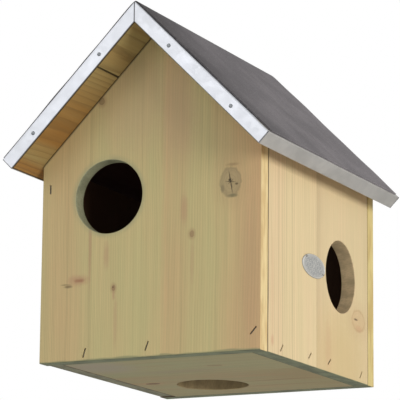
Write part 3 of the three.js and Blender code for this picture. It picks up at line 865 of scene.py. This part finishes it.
def wall_timbers():
    """The right wall's two boards and the door's two boards."""
    side = {"palette": "side", "slot": "side_pine", "seams": [12.2]}
    door = {**side, "body": "side_door", "foot": (0.29, 0.275, 0.17)}
    return [
        Timber(
            "right_wall_front", Z, Y, X, seed=5.2, pith=(-190.0, 60.0), spacing=4.0, bend=14.0,
            contrast=0.2, **side,
            pink=[(0.0, 0.55), (0.22, 0.7), (0.34, 0.35), (0.6, 0.3), (1.0, 0.45)],
            # The first line is painted shade in the gap at the front corner, beside the front
            # board's edge.
            lines=[(-97.0, 1.7, 0.85), (-74.0, 1.6, 0.10), (-65.0, 0.7, 0.20), (-61.5, 0.5, 0.12),
                   (-57.0, 0.5, 0.10), (-43.0, 0.7, 0.22), (-39.0, 0.5, 0.12), (-30.0, 0.5, 0.06)],
            marks=[
                mark_at(-86.6, 12.4, 3.4, 6.0, ROSE, 0.5),
                mark_at(-86.0, 60.0, 4.0, 60.0, ROSE, 0.16),
            ],
        ),
        Timber(
            "right_wall_rear", Z, Y, X, seed=6.1, pith=(260.0, 50.0), spacing=2.3, bend=14.0,
            lean=0.0, holes=[(SIDE_HOLE, HOLE_RADIUS)], hole_colour=(0.71, 0.54, 0.315),
            contrast=0.26, **side,
            pink=[(0.0, 0.55), (0.14, 0.5), (0.3, 0.45), (0.6, 0.35), (1.0, 0.4)],
            shade=[(0.0, 0.86), (0.08, 0.94), (0.22, 0.99), (0.6, 0.97), (1.0, 0.97)],
            knots=[
                knot_at(113.0, 60.3, 17.0, 11.5, (0.62, 0.42, 0.23), (0.40, 0.25, 0.12),
                     cover=0.34, halo=0.18, rim=0.3, rings=4.5),
            ],
            spots=[
                mark_at(106.8, 60.9, 5.2, 1.2, (0.10, 0.06, 0.03), 0.85),
                mark_at(82.0, 126.0, 6.0, 5.0, (0.25, 0.18, 0.10), 0.6),
                mark_at(91.0, 121.0, 4.0, 3.0, (0.22, 0.15, 0.08), 0.5),
            ],
            marks=[
                mark_at(114.0, 52.5, 10.0, 4.0, ROSE, 0.6),
                # Painted shade: the lower part of the rear board darker and yellower, where less
                # light falls.
                mark_at(66.0, 10.0, 78.0, 70.0, (0.58, 0.43, 0.205), 0.55),
                mark_at(40.0, 24.0, 9.0, 30.0, ROSE, 0.22),
            ],
        ),
        Timber(
            "door_board_front", Z, Y, -X, seed=7.7, pith=(-60.0, 90.0), spacing=3.6, **door,
            pink=[(0.0, 0.3), (0.5, 0.6), (1.0, 0.3)],
            knots=[knot_at(-40.0, 118.0, 6.0, 7.5, halo=0.5, cracks=STEEP_AND_LEVEL)],
        ),
        Timber(
            "door_board_rear", Z, Y, -X, seed=8.3, pith=(80.0, 100.0), spacing=3.3, **door,
            pink=[(0.0, 0.2), (0.4, 0.35), (1.0, 0.65)],
            knots=[knot_at(88.0, 52.0, 3.0, 4.0)],
        ),
    ]


def floor_timbers():
    """The two floor boards, whose grain runs across the house."""
    floor = {
        "palette": "floor", "slot": "floor_pine", "contrast": 0.5, "seams": [0.2], "mottle": 2.0,
        "hole_colour": (0.42, 0.31, 0.155),
    }
    return [
        Timber(
            "floor_board_front", X, Y, -Z, seed=9.4, pith=(-60.0, 60.0), spacing=4.0, **floor,
            pink=[(0.0, 0.15), (0.3, 0.35), (0.6, 0.2), (1.0, 0.3)],
            knots=[knot_at(-40.0, 30.0, 4.0, 8.0, cover=0.3, halo=0.25, rim=0.2)],
            marks=[
                mark_at(-70.0, -78.0, 44.0, 40.0, (0.37, 0.315, 0.24), 0.7),
                mark_at(-20.0, -20.0, 10.0, 60.0, (0.33, 0.26, 0.17), 0.4),
            ],
        ),
        Timber(
            "floor_board_rear", X, Y, -Z, seed=10.2, pith=(60.0, 80.0), spacing=4.4, **floor,
            holes=[(FLOOR_HOLE, HOLE_RADIUS)],
            pink=[(0.0, 0.5), (0.3, 0.7), (0.6, 0.4), (1.0, 0.55)],
            knots=[knot_at(45.9, -79.8, 4.2, 7.5, halo=0.6)],
            marks=[
                mark_at(50.0, 96.0, 90.0, 62.0, (0.36, 0.25, 0.11), 0.42),
                mark_at(66.0, 50.0, 4.0, 46.0, UMBER, 0.55),
                mark_at(98.0, 40.0, 3.0, 60.0, UMBER, 0.4),
            ],
        ),
    ]


def roof_timbers():
    """The two boards of each slope, whose grain runs front to back; their undersides show."""
    roof = {
        "palette": "roof", "slot": "roof_pine", "dark_inside": False, "contrast": 0.5,
        "roof_over": True, "foot": (0.20, 0.15, 0.07), "spacing": 3.8, "lean": 0.03,
    }
    upper = [(0.0, 0.35), (0.4, 0.1), (0.75, 0.35), (1.0, 0.15)]
    lower = [(0.0, 0.1), (0.16, 0.35), (0.34, 0.75), (0.52, 0.95), (0.68, 1.0), (0.74, 0.45),
             (0.86, 0.3), (0.93, 1.0), (1.0, 0.9)]
    boards = []
    for side, hand in ((-1, "left"), (1, "right")):
        down = np.array([side * SLANT, 0.0, -SLANT])
        under = np.array([-side * SLANT, 0.0, -SLANT])
        for row, pink, first, middle in (("upper", upper, 3.3, 30.0), ("lower", lower, 6.1, 120.0)):
            name = f"roof_board_{hand}_{row}"
            pith = (-RIDGE * SLANT + middle, 45.0)
            seed = 11.0 + side + first
            boards.append(Timber(name, Y, down, under, seed=seed, pith=pith, pink=pink, **roof))
    return boards


# ---- Roof covering and edging ----


def felt_surface(look, out, fold):
    """One face of the felt as a function of a share across the roof (-1 at the left eave, 1 at
    the right) and a place along Y: two slopes joined by a rounded fold, with edges that wander
    and low swells, all lifted away from the boards."""
    low, high = box_mm("roof_felt")
    edge = SLOPE_LENGTH + SEAT + METAL - FELT_EAVE_INSET
    bunch = np.linspace(-1, 1, FELT_ACROSS)
    share = np.sign(bunch) * (np.abs(bunch) ** 1.5 * 0.55 + np.abs(bunch) * 0.45)
    place = np.linspace(0, 1, FELT_ALONG)
    q, t = np.meshgrid(share, place, indexing="ij")
    y = low[1] + (high[1] - low[1]) * t
    wander = look.wander / MM
    eave_wander = wander * (np.sin(y * 0.045 + 1.0) + 0.6 * np.sin(y * 0.13 + q * 2.0)) * 0.5
    verge_wander = wander * (np.sin(q * 9.0) + 0.5 * np.sin(q * 31.0 + 1.0)) * 0.5
    near_verge = np.exp(-((1 - np.abs(2 * t - 1)) * 9.0) ** 2) * np.sign(t - 0.5)
    y = y + verge_wander * near_verge - 0.35 * near_verge
    askew = np.clip((q - 0.35) / 0.65, 0, 1) ** 1.3 * look.askew / MM
    y = y + askew * np.exp(-((t / 0.12) ** 2))
    down = edge - 0.45 + eave_wander
    x = q * SLANT * (down + out)
    swell = np.sin(q * 17.0 + y * 0.021) * np.sin(y * 0.037 + q * 5.0 + 1.0)
    lift = look.swell / MM * (0.5 + 0.5 * swell) * np.clip(1.3 - np.abs(q) ** 6, 0, 1)
    lift = lift * (1 - np.exp(-((q / 0.03) ** 2)))
    z = RIDGE + out / SLANT - np.sqrt(x * x + fold * fold)
    x = x + np.sign(q) * lift * SLANT * (np.abs(q) < 0.985)
    return np.stack([x, y, z + lift * SLANT], axis=-1)


def build_felt(look):
    """The felt: an upper and a lower face and a rim that joins them."""
    upper = felt_surface(look, FELT_TOP - FELT_SETTLED, RIDGE_FOLD_TOP)
    lower = felt_surface(look, FELT_BASE, RIDGE_FOLD_BASE)
    rows, columns = upper.shape[:2]
    count = rows * columns
    numbers = np.arange(count).reshape(rows, columns)
    rim = np.concatenate([numbers[:, 0], numbers[-1, 1:], numbers[-2::-1, -1], numbers[0, -2:0:-1]])
    ahead = np.roll(rim, -1)
    faces = grid_faces(rows, columns)
    walls = np.stack([rim, ahead, ahead + count, rim + count], axis=-1)
    everything = np.concatenate([faces, faces[:, ::-1] + count, walls])
    points = np.concatenate([upper.reshape(-1, 3), lower.reshape(-1, 3)])
    return make_piece(
        "felt_sheet", points, everything.tolist(), roofing_felt(look), "house",
        ["roof_felt"], 50.0,
    )


def carried(sections):
    """A skin over a row of closed sections of equal count, with a face at either end."""
    rows, columns = sections.shape[:2]
    faces = grid_faces(rows, columns, wrap_columns=True).tolist()
    faces.append(list(range(columns)))
    faces.append(list(range((rows - 1) * columns, rows * columns))[::-1])
    return sections.reshape(-1, 3), faces


def edging_section(outer, inner, tip, look):
    """An edging's closed section: an upright face folded over into a flange that ends at tip."""
    fold = look.fold / MM
    corners = [
        (outer, 0.0), (outer, METAL_TOP), (tip, METAL_TOP), (tip, METAL_BASE),
        (inner, METAL_BASE), (inner, 0.0),
    ]
    return rounded(corners, [0.25, fold, 0.2, 0.2, max(fold - METAL, 0.15), 0.25], 5)


def spread(stations, section):
    """The stations and the section's two coordinates, as arrays of one shape."""
    along = np.repeat(stations[:, None], len(section), axis=1)
    return along, *np.repeat(section.T[:, None, :], len(stations), axis=1)


def pressed(look, out, wave):
    """How far the upright face is pressed in: not at the fold, most at its hanging edge."""
    return look.dent / MM * (0.5 + 0.33 * wave) * (1 - np.clip(out / METAL_TOP, 0, 1))


def build_edging(name, node, points, material):
    """The piece of one edging, from its rows of points."""
    points, faces = carried(points)
    return make_piece(name, points, faces, material, "house", [node])


def build_verge(end, side, look, material):
    """A verge's edging: its section carried down the slope. The first section leans so that it
    is cut plumb at the ridge, and the flange draws in where the eave's own flange begins."""
    outer, inward = (VERGE_FRONT, 1.0) if end == "front" else (VERGE_REAR, -1.0)
    section = edging_section(0.0, METAL, FLANGE, look)
    flange_end = SLOPE_LENGTH - FLANGE - SEAT
    stations = np.concatenate(
        [[SEAT / 2, 4.0], np.linspace(12.0, flange_end, 34), [flange_end + 0.02],
         np.linspace(flange_end + 1.0, EAVE_OUTER, 8)]
    )
    down, inset, out = spread(stations, section)
    down[0] -= section[:, 1]
    beyond = down > flange_end + 0.01
    inset = np.where(beyond, np.minimum(inset, 1.6), inset)
    wave = np.sin(down * 0.05 + side + inward) + 0.5 * np.sin(down * 0.17 + 2 * side)
    inset = inset + pressed(look, out, wave)
    points = on_slope(side, down, out, outer + inward * inset)
    hand = "left" if side < 0 else "right"
    name = f"verge_edging_{end}_{hand}"
    return build_edging(name, f"verge_trim_{end}_{hand}", points, material)


def build_eave(side, look, material):
    """An eave's edging: the same section, carried along Y between the verges."""
    hand = "left" if side < 0 else "right"
    low, high = box_mm(f"eave_trim_{hand}")
    face = EAVE_OUTER - METAL
    section = edging_section(EAVE_OUTER, face, SLOPE_LENGTH - FLANGE, look)
    y, down, out = spread(np.linspace(low[1], high[1], 60), section)
    wave = np.sin(y * 0.031 + side) + 0.5 * np.sin(y * 0.11)
    down = down - pressed(look, out, wave) * (down > face - 0.01)
    points = on_slope(side, down, out, y)
    return build_edging(f"eave_edging_{hand}", f"eave_trim_{hand}", points, material)


# ---- Fixings ----


def head_place(node, outward):
    """The middle of a nail's or screw's head top, from its CAD node's box."""
    low, high = box_mm(node)
    outward = np.array(outward, float)
    middle = (low + high) / 2
    return middle + outward * ((high - low) / 2 @ np.abs(outward))


def build_nail(node, outward, size, material, relief=None, rings=14, around=32):
    """A nail or screw of a head radius, head height, shank radius and length."""
    head, height, shank, length = size
    top = head_place(node, outward)
    points, faces = turned(
        round_head(head, height, shank, length, rings), outward, top, around, relief
    )
    return make_piece(
        f"{node}_turned", points, faces.tolist(), material, "house", [node], 40.0
    )


def build_screw(node, outward, material, look):
    """A round-headed screw with a cross recess."""
    relief = cross_recess(1.9, 0.5, look.recess / MM)
    return build_nail(node, outward, SCREW_SIZE, material, relief, 40, 96)


def eased_copy(node, material, body, width, segments=3, name="eased"):
    """A small piece from its CAD node, doubles merged and every edge rounded."""
    mesh, work = merged_copy(node, MERGE)
    work.to_mesh(mesh)
    work.free()
    piece = place_piece(f"{node}_{name}", mesh, material, body, [node], 30.0)
    add_bevel(piece, width, segments)
    return piece


def build_tag(look):
    """The oval tag: a disc on polar rings, stretched to its two half-axes, with a raised rim, a
    raised inner line and a hammered middle. Its own height is kept as the attribute standing."""
    low, high = box_mm("oval_tag")
    centre = (low + high) / 2
    half = (high - low) / 2
    ring = np.concatenate([np.linspace(0, 0.8, 26), np.linspace(0.81, 1.0, 20)])
    turn = np.linspace(0, 2 * np.pi, 160, endpoint=False)
    r, a = np.meshgrid(ring, turn, indexing="ij")
    y = r * np.cos(a) * half[1]
    z = r * np.sin(a) * half[2]
    rim = np.exp(-(((r - 0.925) / 0.035) ** 2))
    line = 0.6 * np.exp(-(((r - 0.80) / 0.02) ** 2))
    dents = np.sin(y * 1.9 + 2.2 * np.sin(z * 0.9)) * np.sin(z * 2.3 + 1.7 * np.sin(y * 0.8))
    dents = dents + 0.5 * np.sin(y * 3.7 + z * 1.3) * np.sin(z * 3.1 - y * 0.7)
    middle = np.clip((0.76 - r) / 0.06, 0, 1)
    standing = 0.40 + 0.5 * rim + 0.32 * line + 0.26 * dents * middle
    edge = np.clip((1.0 - r) / 0.02, 0, 1) ** 0.5
    thickness = high[0] - low[0]
    x = low[0] + thickness * np.clip(standing, 0.05, 0.98) * (0.35 + 0.65 * edge)
    front = np.stack([x, centre[1] + y, centre[2] + z], axis=-1)
    back = front[::-1].copy()
    back[..., 0] = low[0]
    points = np.concatenate([front, back]).reshape(-1, 3)
    faces = grid_faces(2 * len(ring), len(turn), wrap_columns=True)
    material = alloy(look)
    piece = make_piece(
        "oval_tag_embossed", points, faces.tolist(), material, "house", ["oval_tag"],
    )
    count = len(piece.data.vertices)
    places = np.zeros(count * 3, np.float32)
    piece.data.vertices.foreach_get("co", places)
    height = (places.reshape(-1, 3)[:, 0] / MM - low[0]) / thickness
    layer = piece.data.attributes.new("standing", "FLOAT", "POINT")
    layer.data.foreach_set("value", np.clip(height, 0, 1).astype(np.float32))
    return piece


# ---- Settings ----


def colour_property(name, description, default):
    return FloatVectorProperty(
        name=name, description=description, default=default, size=3, min=0.0, max=1.0,
        subtype="COLOR",
    )


def length_property(name, description, default, low=0.0, high=0.01):
    return FloatProperty(
        name=name, description=description, default=default, min=low, max=high, unit="LENGTH",
        precision=5,
    )


def number_property(name, description, default, unit="NONE"):
    return FloatProperty(name=name, description=description, default=default, unit=unit)


class TimberLook(bpy.types.PropertyGroup):
    """Sizes and colours of the boards."""

    edge_round: length_property("Edge rounding", "How far the boards' edges are eased", 0.0007)
    gable_pale: colour_property("Gable, pale", "Pale wood of the gables", (0.685, 0.60, 0.288))
    gable_pink: colour_property("Gable, pink", "Pinkish bands of the gables", (0.72, 0.478, 0.248))
    side_pale: colour_property("Walls, pale", "Pale wood of the walls", (0.70, 0.585, 0.33))
    side_pink: colour_property("Walls, pink", "Pinkish bands of the walls", (0.72, 0.53, 0.325))
    floor_pale: colour_property("Floor, pale", "Pale wood of the floor", (0.40, 0.385, 0.20))
    floor_pink: colour_property("Floor, brown", "Brown bands of the floor", (0.40, 0.29, 0.15))
    roof_pale: colour_property("Roof, olive", "Olive bands under the roof", (0.41, 0.315, 0.125))
    roof_pink: colour_property("Roof, orange", "Orange bands under the roof", (0.37, 0.185, 0.046))
    late: colour_property("Late wood", "Dark line of each growth ring", (0.36, 0.24, 0.10))
    # Painted shade: this near-black brown stands for the shade inside the box, not the wood's own
    # colour.
    inside: colour_property("Inside", "Sawn, unplaned inside of the box", (0.095, 0.038, 0.017))


class FeltLook(bpy.types.PropertyGroup):
    """Sizes and colours of the roofing felt."""

    colour: colour_property("Felt", "Mineral felt", (0.145, 0.135, 0.142))
    colour_worn: colour_property("Felt, worn", "Worn patches of the felt", (0.19, 0.176, 0.184))
    granule: length_property("Granule", "Size of a mineral granule", 0.0011, 0.0003)
    swell: length_property("Swell", "How far the felt swells off the boards", 0.0005)
    wander: length_property("Edge wander", "How far the cut edges wander", 0.0004)
    askew: length_property("Askew", "How far back the front edge runs at the right eave", 0.0045)


class MetalLook(bpy.types.PropertyGroup):
    """Sizes and colours of the edging and the fixings."""

    # Painted light and shade: lit and shaded copies of one zinc, the verge's brighter and bluer,
    # the eave's darker and warmer; the hanger and button use the shaded copy.
    verge_lit_tint: colour_property("Verge zinc", "Bright zinc", (0.825, 0.845, 0.895))
    verge_lit_dull: colour_property("Verge zinc, dull", "Smears on the zinc", (0.765, 0.785, 0.825))
    eave_shaded_tint: colour_property("Eave zinc", "Zinc of the eaves", (0.635, 0.615, 0.585))
    eave_shaded_dull: colour_property("Eave zinc, dull", "Smears on the eaves", (0.53, 0.515, 0.49))
    fold: length_property("Fold", "Outer radius of the sheet's fold", 0.0011, 0.0003)
    dent: length_property("Dent", "How far the hanging edge is pressed in", 0.0001)
    steel: colour_property("Steel", "Staples, pins and screws", (0.16, 0.15, 0.12))
    rust: colour_property("Rust", "Freckles on the steel", (0.10, 0.055, 0.03))
    recess: length_property("Recess", "Depth of a screw's cross recess", 0.0009)


class TagLook(bpy.types.PropertyGroup):
    """Colours of the oval tag."""

    colour: colour_property("Alloy", "Rubbed alloy", (0.66, 0.645, 0.60))
    hollow: colour_property("Hollows", "Alloy in the hollows", (0.33, 0.34, 0.34))


class StageLook(bpy.types.PropertyGroup):
    """The studio: lights, floor and camera."""

    key: number_property("Key light", "Power of the key", 50.0, "POWER")
    fill: number_property("Fill light", "Power of the fill", 11.0, "POWER")
    rear: number_property("Rear light", "Power of the rear", 16.0, "POWER")
    sky: number_property("Sky", "Strength of the pale surroundings", 0.38)
    ground: number_property("Ground", "Strength of light from below", 0.13)
    mirror: number_property("Mirrored", "Surroundings seen in metal", 0.62)
    floor: colour_property("Floor", "The studio floor", (0.80, 0.80, 0.79))
    drop: number_property("Floor drop", "How far the floor lies below", 0.9, "LENGTH")
    lens: number_property("Lens", "Focal length", 238.3, "CAMERA")


# ---- Operators ----


class NestOperator:
    """What the operators share: their options and the settings they read."""

    bl_options = {"REGISTER", "UNDO"}

    def execute(self, context):
        self.build(context.scene.nesting_house)
        return {"FINISHED"}


def build_boards(timbers, look):
    palettes = palettes_of(look)
    for timber in timbers:
        eased_board(timber, look, palettes)


class NEST_OT_gables(NestOperator, bpy.types.Operator):
    """Make the front and back boards"""

    bl_idname = "nest.gables"
    bl_label = "Front and back boards"

    def build(self, looks):
        build_boards(gable_timbers(), looks.timber)


class NEST_OT_walls(NestOperator, bpy.types.Operator):
    """Make the right wall and the door in the left side"""

    bl_idname = "nest.walls"
    bl_label = "Right wall and door"

    def build(self, looks):
        build_boards(wall_timbers(), looks.timber)


class NEST_OT_floor(NestOperator, bpy.types.Operator):
    """Make the floor of the house"""

    bl_idname = "nest.floor"
    bl_label = "Floor boards"

    def build(self, looks):
        build_boards(floor_timbers(), looks.timber)


class NEST_OT_roof_boards(NestOperator, bpy.types.Operator):
    """Make the boards of both slopes"""

    bl_idname = "nest.roof_boards"
    bl_label = "Roof boards"

    def build(self, looks):
        build_boards(roof_timbers(), looks.timber)


class NEST_OT_felt(NestOperator, bpy.types.Operator):
    """Lay the felt over the ridge"""

    bl_idname = "nest.felt"
    bl_label = "Roofing felt"

    def build(self, looks):
        build_felt(looks.felt)


class NEST_OT_edging(NestOperator, bpy.types.Operator):
    """Fold the sheet edging of the verges and the eaves"""

    bl_idname = "nest.edging"
    bl_label = "Sheet edging"

    def build(self, looks):
        look = looks.metal
        # Lit and shaded copies of one zinc: painted light on the verges, painted shade on the
        # eaves.
        bright = zinc("verge_zinc", look.verge_lit_tint, look.verge_lit_dull, 0.42, True)
        dull = zinc("eave_zinc", look.eave_shaded_tint, look.eave_shaded_dull, 0.5)
        for side in (-1, 1):
            build_eave(side, look, dull)
            for end in ("front", "rear"):
                build_verge(end, side, look, bright)


class NEST_OT_verge_nails(NestOperator, bpy.types.Operator):
    """Drive the nails through the verge edging"""

    bl_idname = "nest.verge_nails"
    bl_label = "Verge nails"

    def build(self, looks):
        material = steel("nail_zinc", NAIL_ZINC, NAIL_DULL, 0.4)
        for end, outward in (("front", -Y), ("rear", Y)):
            for hand in ("left", "right"):
                for row in ("upper", "lower"):
                    node = f"verge_nail_{end}_{hand}_{row}"
                    build_nail(node, outward, VERGE_NAIL_SIZE, material)


class NEST_OT_staples(NestOperator, bpy.types.Operator):
    """Round the wire of the staples and give the hidden ones their steel"""

    bl_idname = "nest.staples"
    bl_label = "Staples"

    def build(self, looks):
        look = looks.metal
        material = steel("staple_wire", look.steel, look.rust)
        for name in sorted(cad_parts):
            if name.startswith("roof_staple_"):
                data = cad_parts[name].data
                data.materials.clear()
                data.materials.append(material)
            elif "_staple_" in name:
                eased_copy(name, material, "house", STAPLE_ROUND, 3, "wire")


class NEST_OT_pins(NestOperator, bpy.types.Operator):
    """Make the two pins that the door turns on"""

    bl_idname = "nest.pins"
    bl_label = "Door pins"

    def build(self, looks):
        look = looks.metal
        material = steel("pin_steel", look.steel, look.rust)
        for name in ("door_pin_front", "door_pin_rear"):
            eased_copy(name, material, "house", PIN_ROUND)


class NEST_OT_tag(NestOperator, bpy.types.Operator):
    """Emboss the oval tag and drive its nails"""

    bl_idname = "nest.tag"
    bl_label = "Oval tag"

    def build(self, looks):
        build_tag(looks.tag)
        material = steel("tag_nail_steel", TAG_NAIL, TAG_NAIL_DULL, 0.45)
        for name in ("tag_nail_1", "tag_nail_2"):
            build_nail(name, X, TAG_NAIL_SIZE, material, rings=8, around=20)


class NEST_OT_hanger(NestOperator, bpy.types.Operator):
    """Make the hanging plate and its two screws"""

    bl_idname = "nest.hanger"
    bl_label = "Hanging plate"

    def build(self, looks):
        look = looks.metal
        plate = zinc("hanger_zinc", look.eave_shaded_tint, look.eave_shaded_dull, 0.42)
        eased_copy("hanging_plate", plate, "house", PLATE_ROUND, 2)
        material = steel("hanger_screw_steel", SCREW, look.rust, 0.4)
        for name in ("hanger_screw_upper", "hanger_screw_lower"):
            build_screw(name, Y, material, look)


class NEST_OT_button(NestOperator, bpy.types.Operator):
    """Make the turn button that holds the door, and its screw"""

    bl_idname = "nest.button"
    bl_label = "Turn button"

    def build(self, looks):
        look = looks.metal
        plate = zinc("button_zinc", look.eave_shaded_tint, look.eave_shaded_dull, 0.4)
        eased_copy("turn_button", plate, "latch", BUTTON_ROUND, 2)
        material = steel("button_screw_steel", SCREW, look.rust, 0.4)
        build_screw("turn_button_screw", -X, material, look)


# ---- Studio ----


def add_light(name, place, size, power, colour=(1.0, 1.0, 1.0)):
    """A soft light at a place, turned towards the house and unseen by the camera."""
    data = bpy.data.lights.new(name, "AREA")
    data.shape = "RECTANGLE"
    data.size, data.size_y = size
    data.energy = power
    data.color = colour
    light = bpy.data.objects.new(name, data)
    bpy.context.scene.collection.objects.link(light)
    light.location = place
    light.rotation_euler = (Vector(MIDDLE) - Vector(place)).to_track_quat("-Z", "Y").to_euler()
    light.visible_camera = False
    return light


def studio_world(look):
    """White to the camera; to everything else a pale sky over a dimmer ground."""
    world = bpy.data.worlds.new("studio")
    world.use_nodes = True
    n = Nodes(world.node_tree)
    direction = n.add("ShaderNodeTexCoord", out="Generated")
    height = n.add("ShaderNodeSeparateXYZ", None, [direction], out="Z")
    rise = height.step(-0.35, 0.25, look.ground, look.sky)
    mirrored = n.add("ShaderNodeLightPath", out="Is Glossy Ray")
    light = n.add("ShaderNodeMix", None, {0: mirrored, 2: rise, 3: rise * (look.mirror / look.sky)})
    seen = n.add("ShaderNodeLightPath", out="Is Camera Ray")
    strength = n.add("ShaderNodeMix", None, {0: seen, 2: light, 3: 1.0})
    white = {"Color": (1.0, 1.0, 1.0, 1.0), "Strength": strength}
    background = n.add("ShaderNodeBackground", None, white)
    output = n.tree.nodes.new("ShaderNodeOutputWorld")
    n.feed(output.inputs["Surface"], background)
    return world


def studio_floor(look):
    """A wide pale floor, seen from above only, so that it doesn't hide the house from below."""
    mesh = bpy.data.meshes.new("studio_floor")
    reach = 6.0
    corners = [(-reach, -reach), (reach, -reach), (reach, reach), (-reach, reach)]
    mesh.from_pydata([(x, y, -look.drop) for x, y in corners], [], [(0, 1, 2, 3)])
    floor = bpy.data.objects.new("studio_floor", mesh)
    bpy.context.scene.collection.objects.link(floor)
    f = Finish("studio_floor", Roughness=0.9, Base_Color=(*look.floor, 1.0))
    under = f.add("ShaderNodeNewGeometry", out="Backfacing")
    clear = f.add("ShaderNodeBsdfTransparent")
    surface = Value(f, f.shader.outputs[0])
    f.show(f.add("ShaderNodeMixShader", None, [under, surface, clear]))
    mesh.materials.append(f.material)


def studio_camera(look):
    """A long lens from the front right, low down and looking up."""
    yaw, pitch, roll = (math.radians(angle) for angle in CAMERA_TURN)
    forward = Vector(
        (-math.sin(yaw) * math.cos(pitch), math.cos(yaw) * math.cos(pitch), math.sin(pitch))
    )
    right = Vector((math.cos(yaw), math.sin(yaw), 0.0))
    up = right.cross(forward)
    turned_right = right * math.cos(roll) + up * math.sin(roll)
    turned_up = up * math.cos(roll) - right * math.sin(roll)
    data = bpy.data.cameras.new("studio_camera")
    data.lens = look.lens
    data.sensor_width = 36.0
    data.clip_start = 0.05
    data.clip_end = 50.0
    camera = bpy.data.objects.new("studio_camera", data)
    bpy.context.scene.collection.objects.link(camera)
    axes = Matrix((turned_right, turned_up, -forward)).transposed()
    camera.matrix_world = Matrix.Translation(CAMERA_PLACE) @ axes.to_4x4()
    bpy.context.scene.camera = camera


class NEST_OT_stage(NestOperator, bpy.types.Operator):
    """Set up the floor, the lights and the camera"""

    bl_idname = "nest.stage"
    bl_label = "Studio"

    def build(self, looks):
        look = looks.stage
        bpy.context.scene.world = studio_world(look)
        bpy.context.scene.view_settings.view_transform = "Standard"
        studio_floor(look)
        add_light("key", (2.5, -0.6, 0.30), (2.4, 1.1), look.key, (1.0, 0.985, 0.96))
        add_light("fill", (-1.0, -2.4, 0.9), (1.8, 1.8), look.fill, (0.98, 0.985, 1.0))
        add_light("rear", (-1.6, 2.2, 1.3), (1.6, 1.6), look.rear)
        studio_camera(look)


class NestingHouseLooks(bpy.types.PropertyGroup):
    """All settings of the nesting house."""

    timber: PointerProperty(type=TimberLook, name="Timber", description="The boards")
    felt: PointerProperty(type=FeltLook, name="Felt", description="The roofing felt")
    metal: PointerProperty(type=MetalLook, name="Metal", description="Edging and fixings")
    tag: PointerProperty(type=TagLook, name="Tag", description="The oval tag")
    stage: PointerProperty(type=StageLook, name="Studio", description="Lights and camera")


GROUPS = (TimberLook, FeltLook, MetalLook, TagLook, StageLook, NestingHouseLooks)
OPERATORS = (
    NEST_OT_gables,
    NEST_OT_walls,
    NEST_OT_floor,
    NEST_OT_roof_boards,
    NEST_OT_felt,
    NEST_OT_edging,
    NEST_OT_verge_nails,
    NEST_OT_staples,
    NEST_OT_pins,
    NEST_OT_tag,
    NEST_OT_hanger,
    NEST_OT_button,
    NEST_OT_stage,
)


class NEST_PT_sidebar(bpy.types.Panel):
    """Lists the pieces' operators and their settings."""

    bl_idname = "NEST_PT_sidebar"
    bl_label = "Nesting house"
    bl_space_type = "VIEW_3D"
    bl_region_type = "UI"
    bl_category = "Nesting house"

    def draw(self, context):
        layout = self.layout
        for operator in OPERATORS:
            layout.operator(operator.bl_idname)
        looks = context.scene.nesting_house
        for part in ("timber", "felt", "metal", "tag", "stage"):
            group = getattr(looks, part)
            box = layout.box()
            box.label(text=part.capitalize())
            for name in group.__annotations__:
                box.prop(group, name)


def register():
    for cls in (*GROUPS, *OPERATORS, NEST_PT_sidebar):
        bpy.utils.register_class(cls)
    bpy.types.Scene.nesting_house = PointerProperty(type=NestingHouseLooks)


def unregister():
    del bpy.types.Scene.nesting_house
    for cls in reversed((*GROUPS, *OPERATORS, NEST_PT_sidebar)):
        bpy.utils.unregister_class(cls)


def main():
    """Builds everything in order."""
    register()
    for operator in OPERATORS:
        family, name = operator.bl_idname.split(".")
        getattr(getattr(bpy.ops, family), name)()


if __name__ == "__main__":
    main()
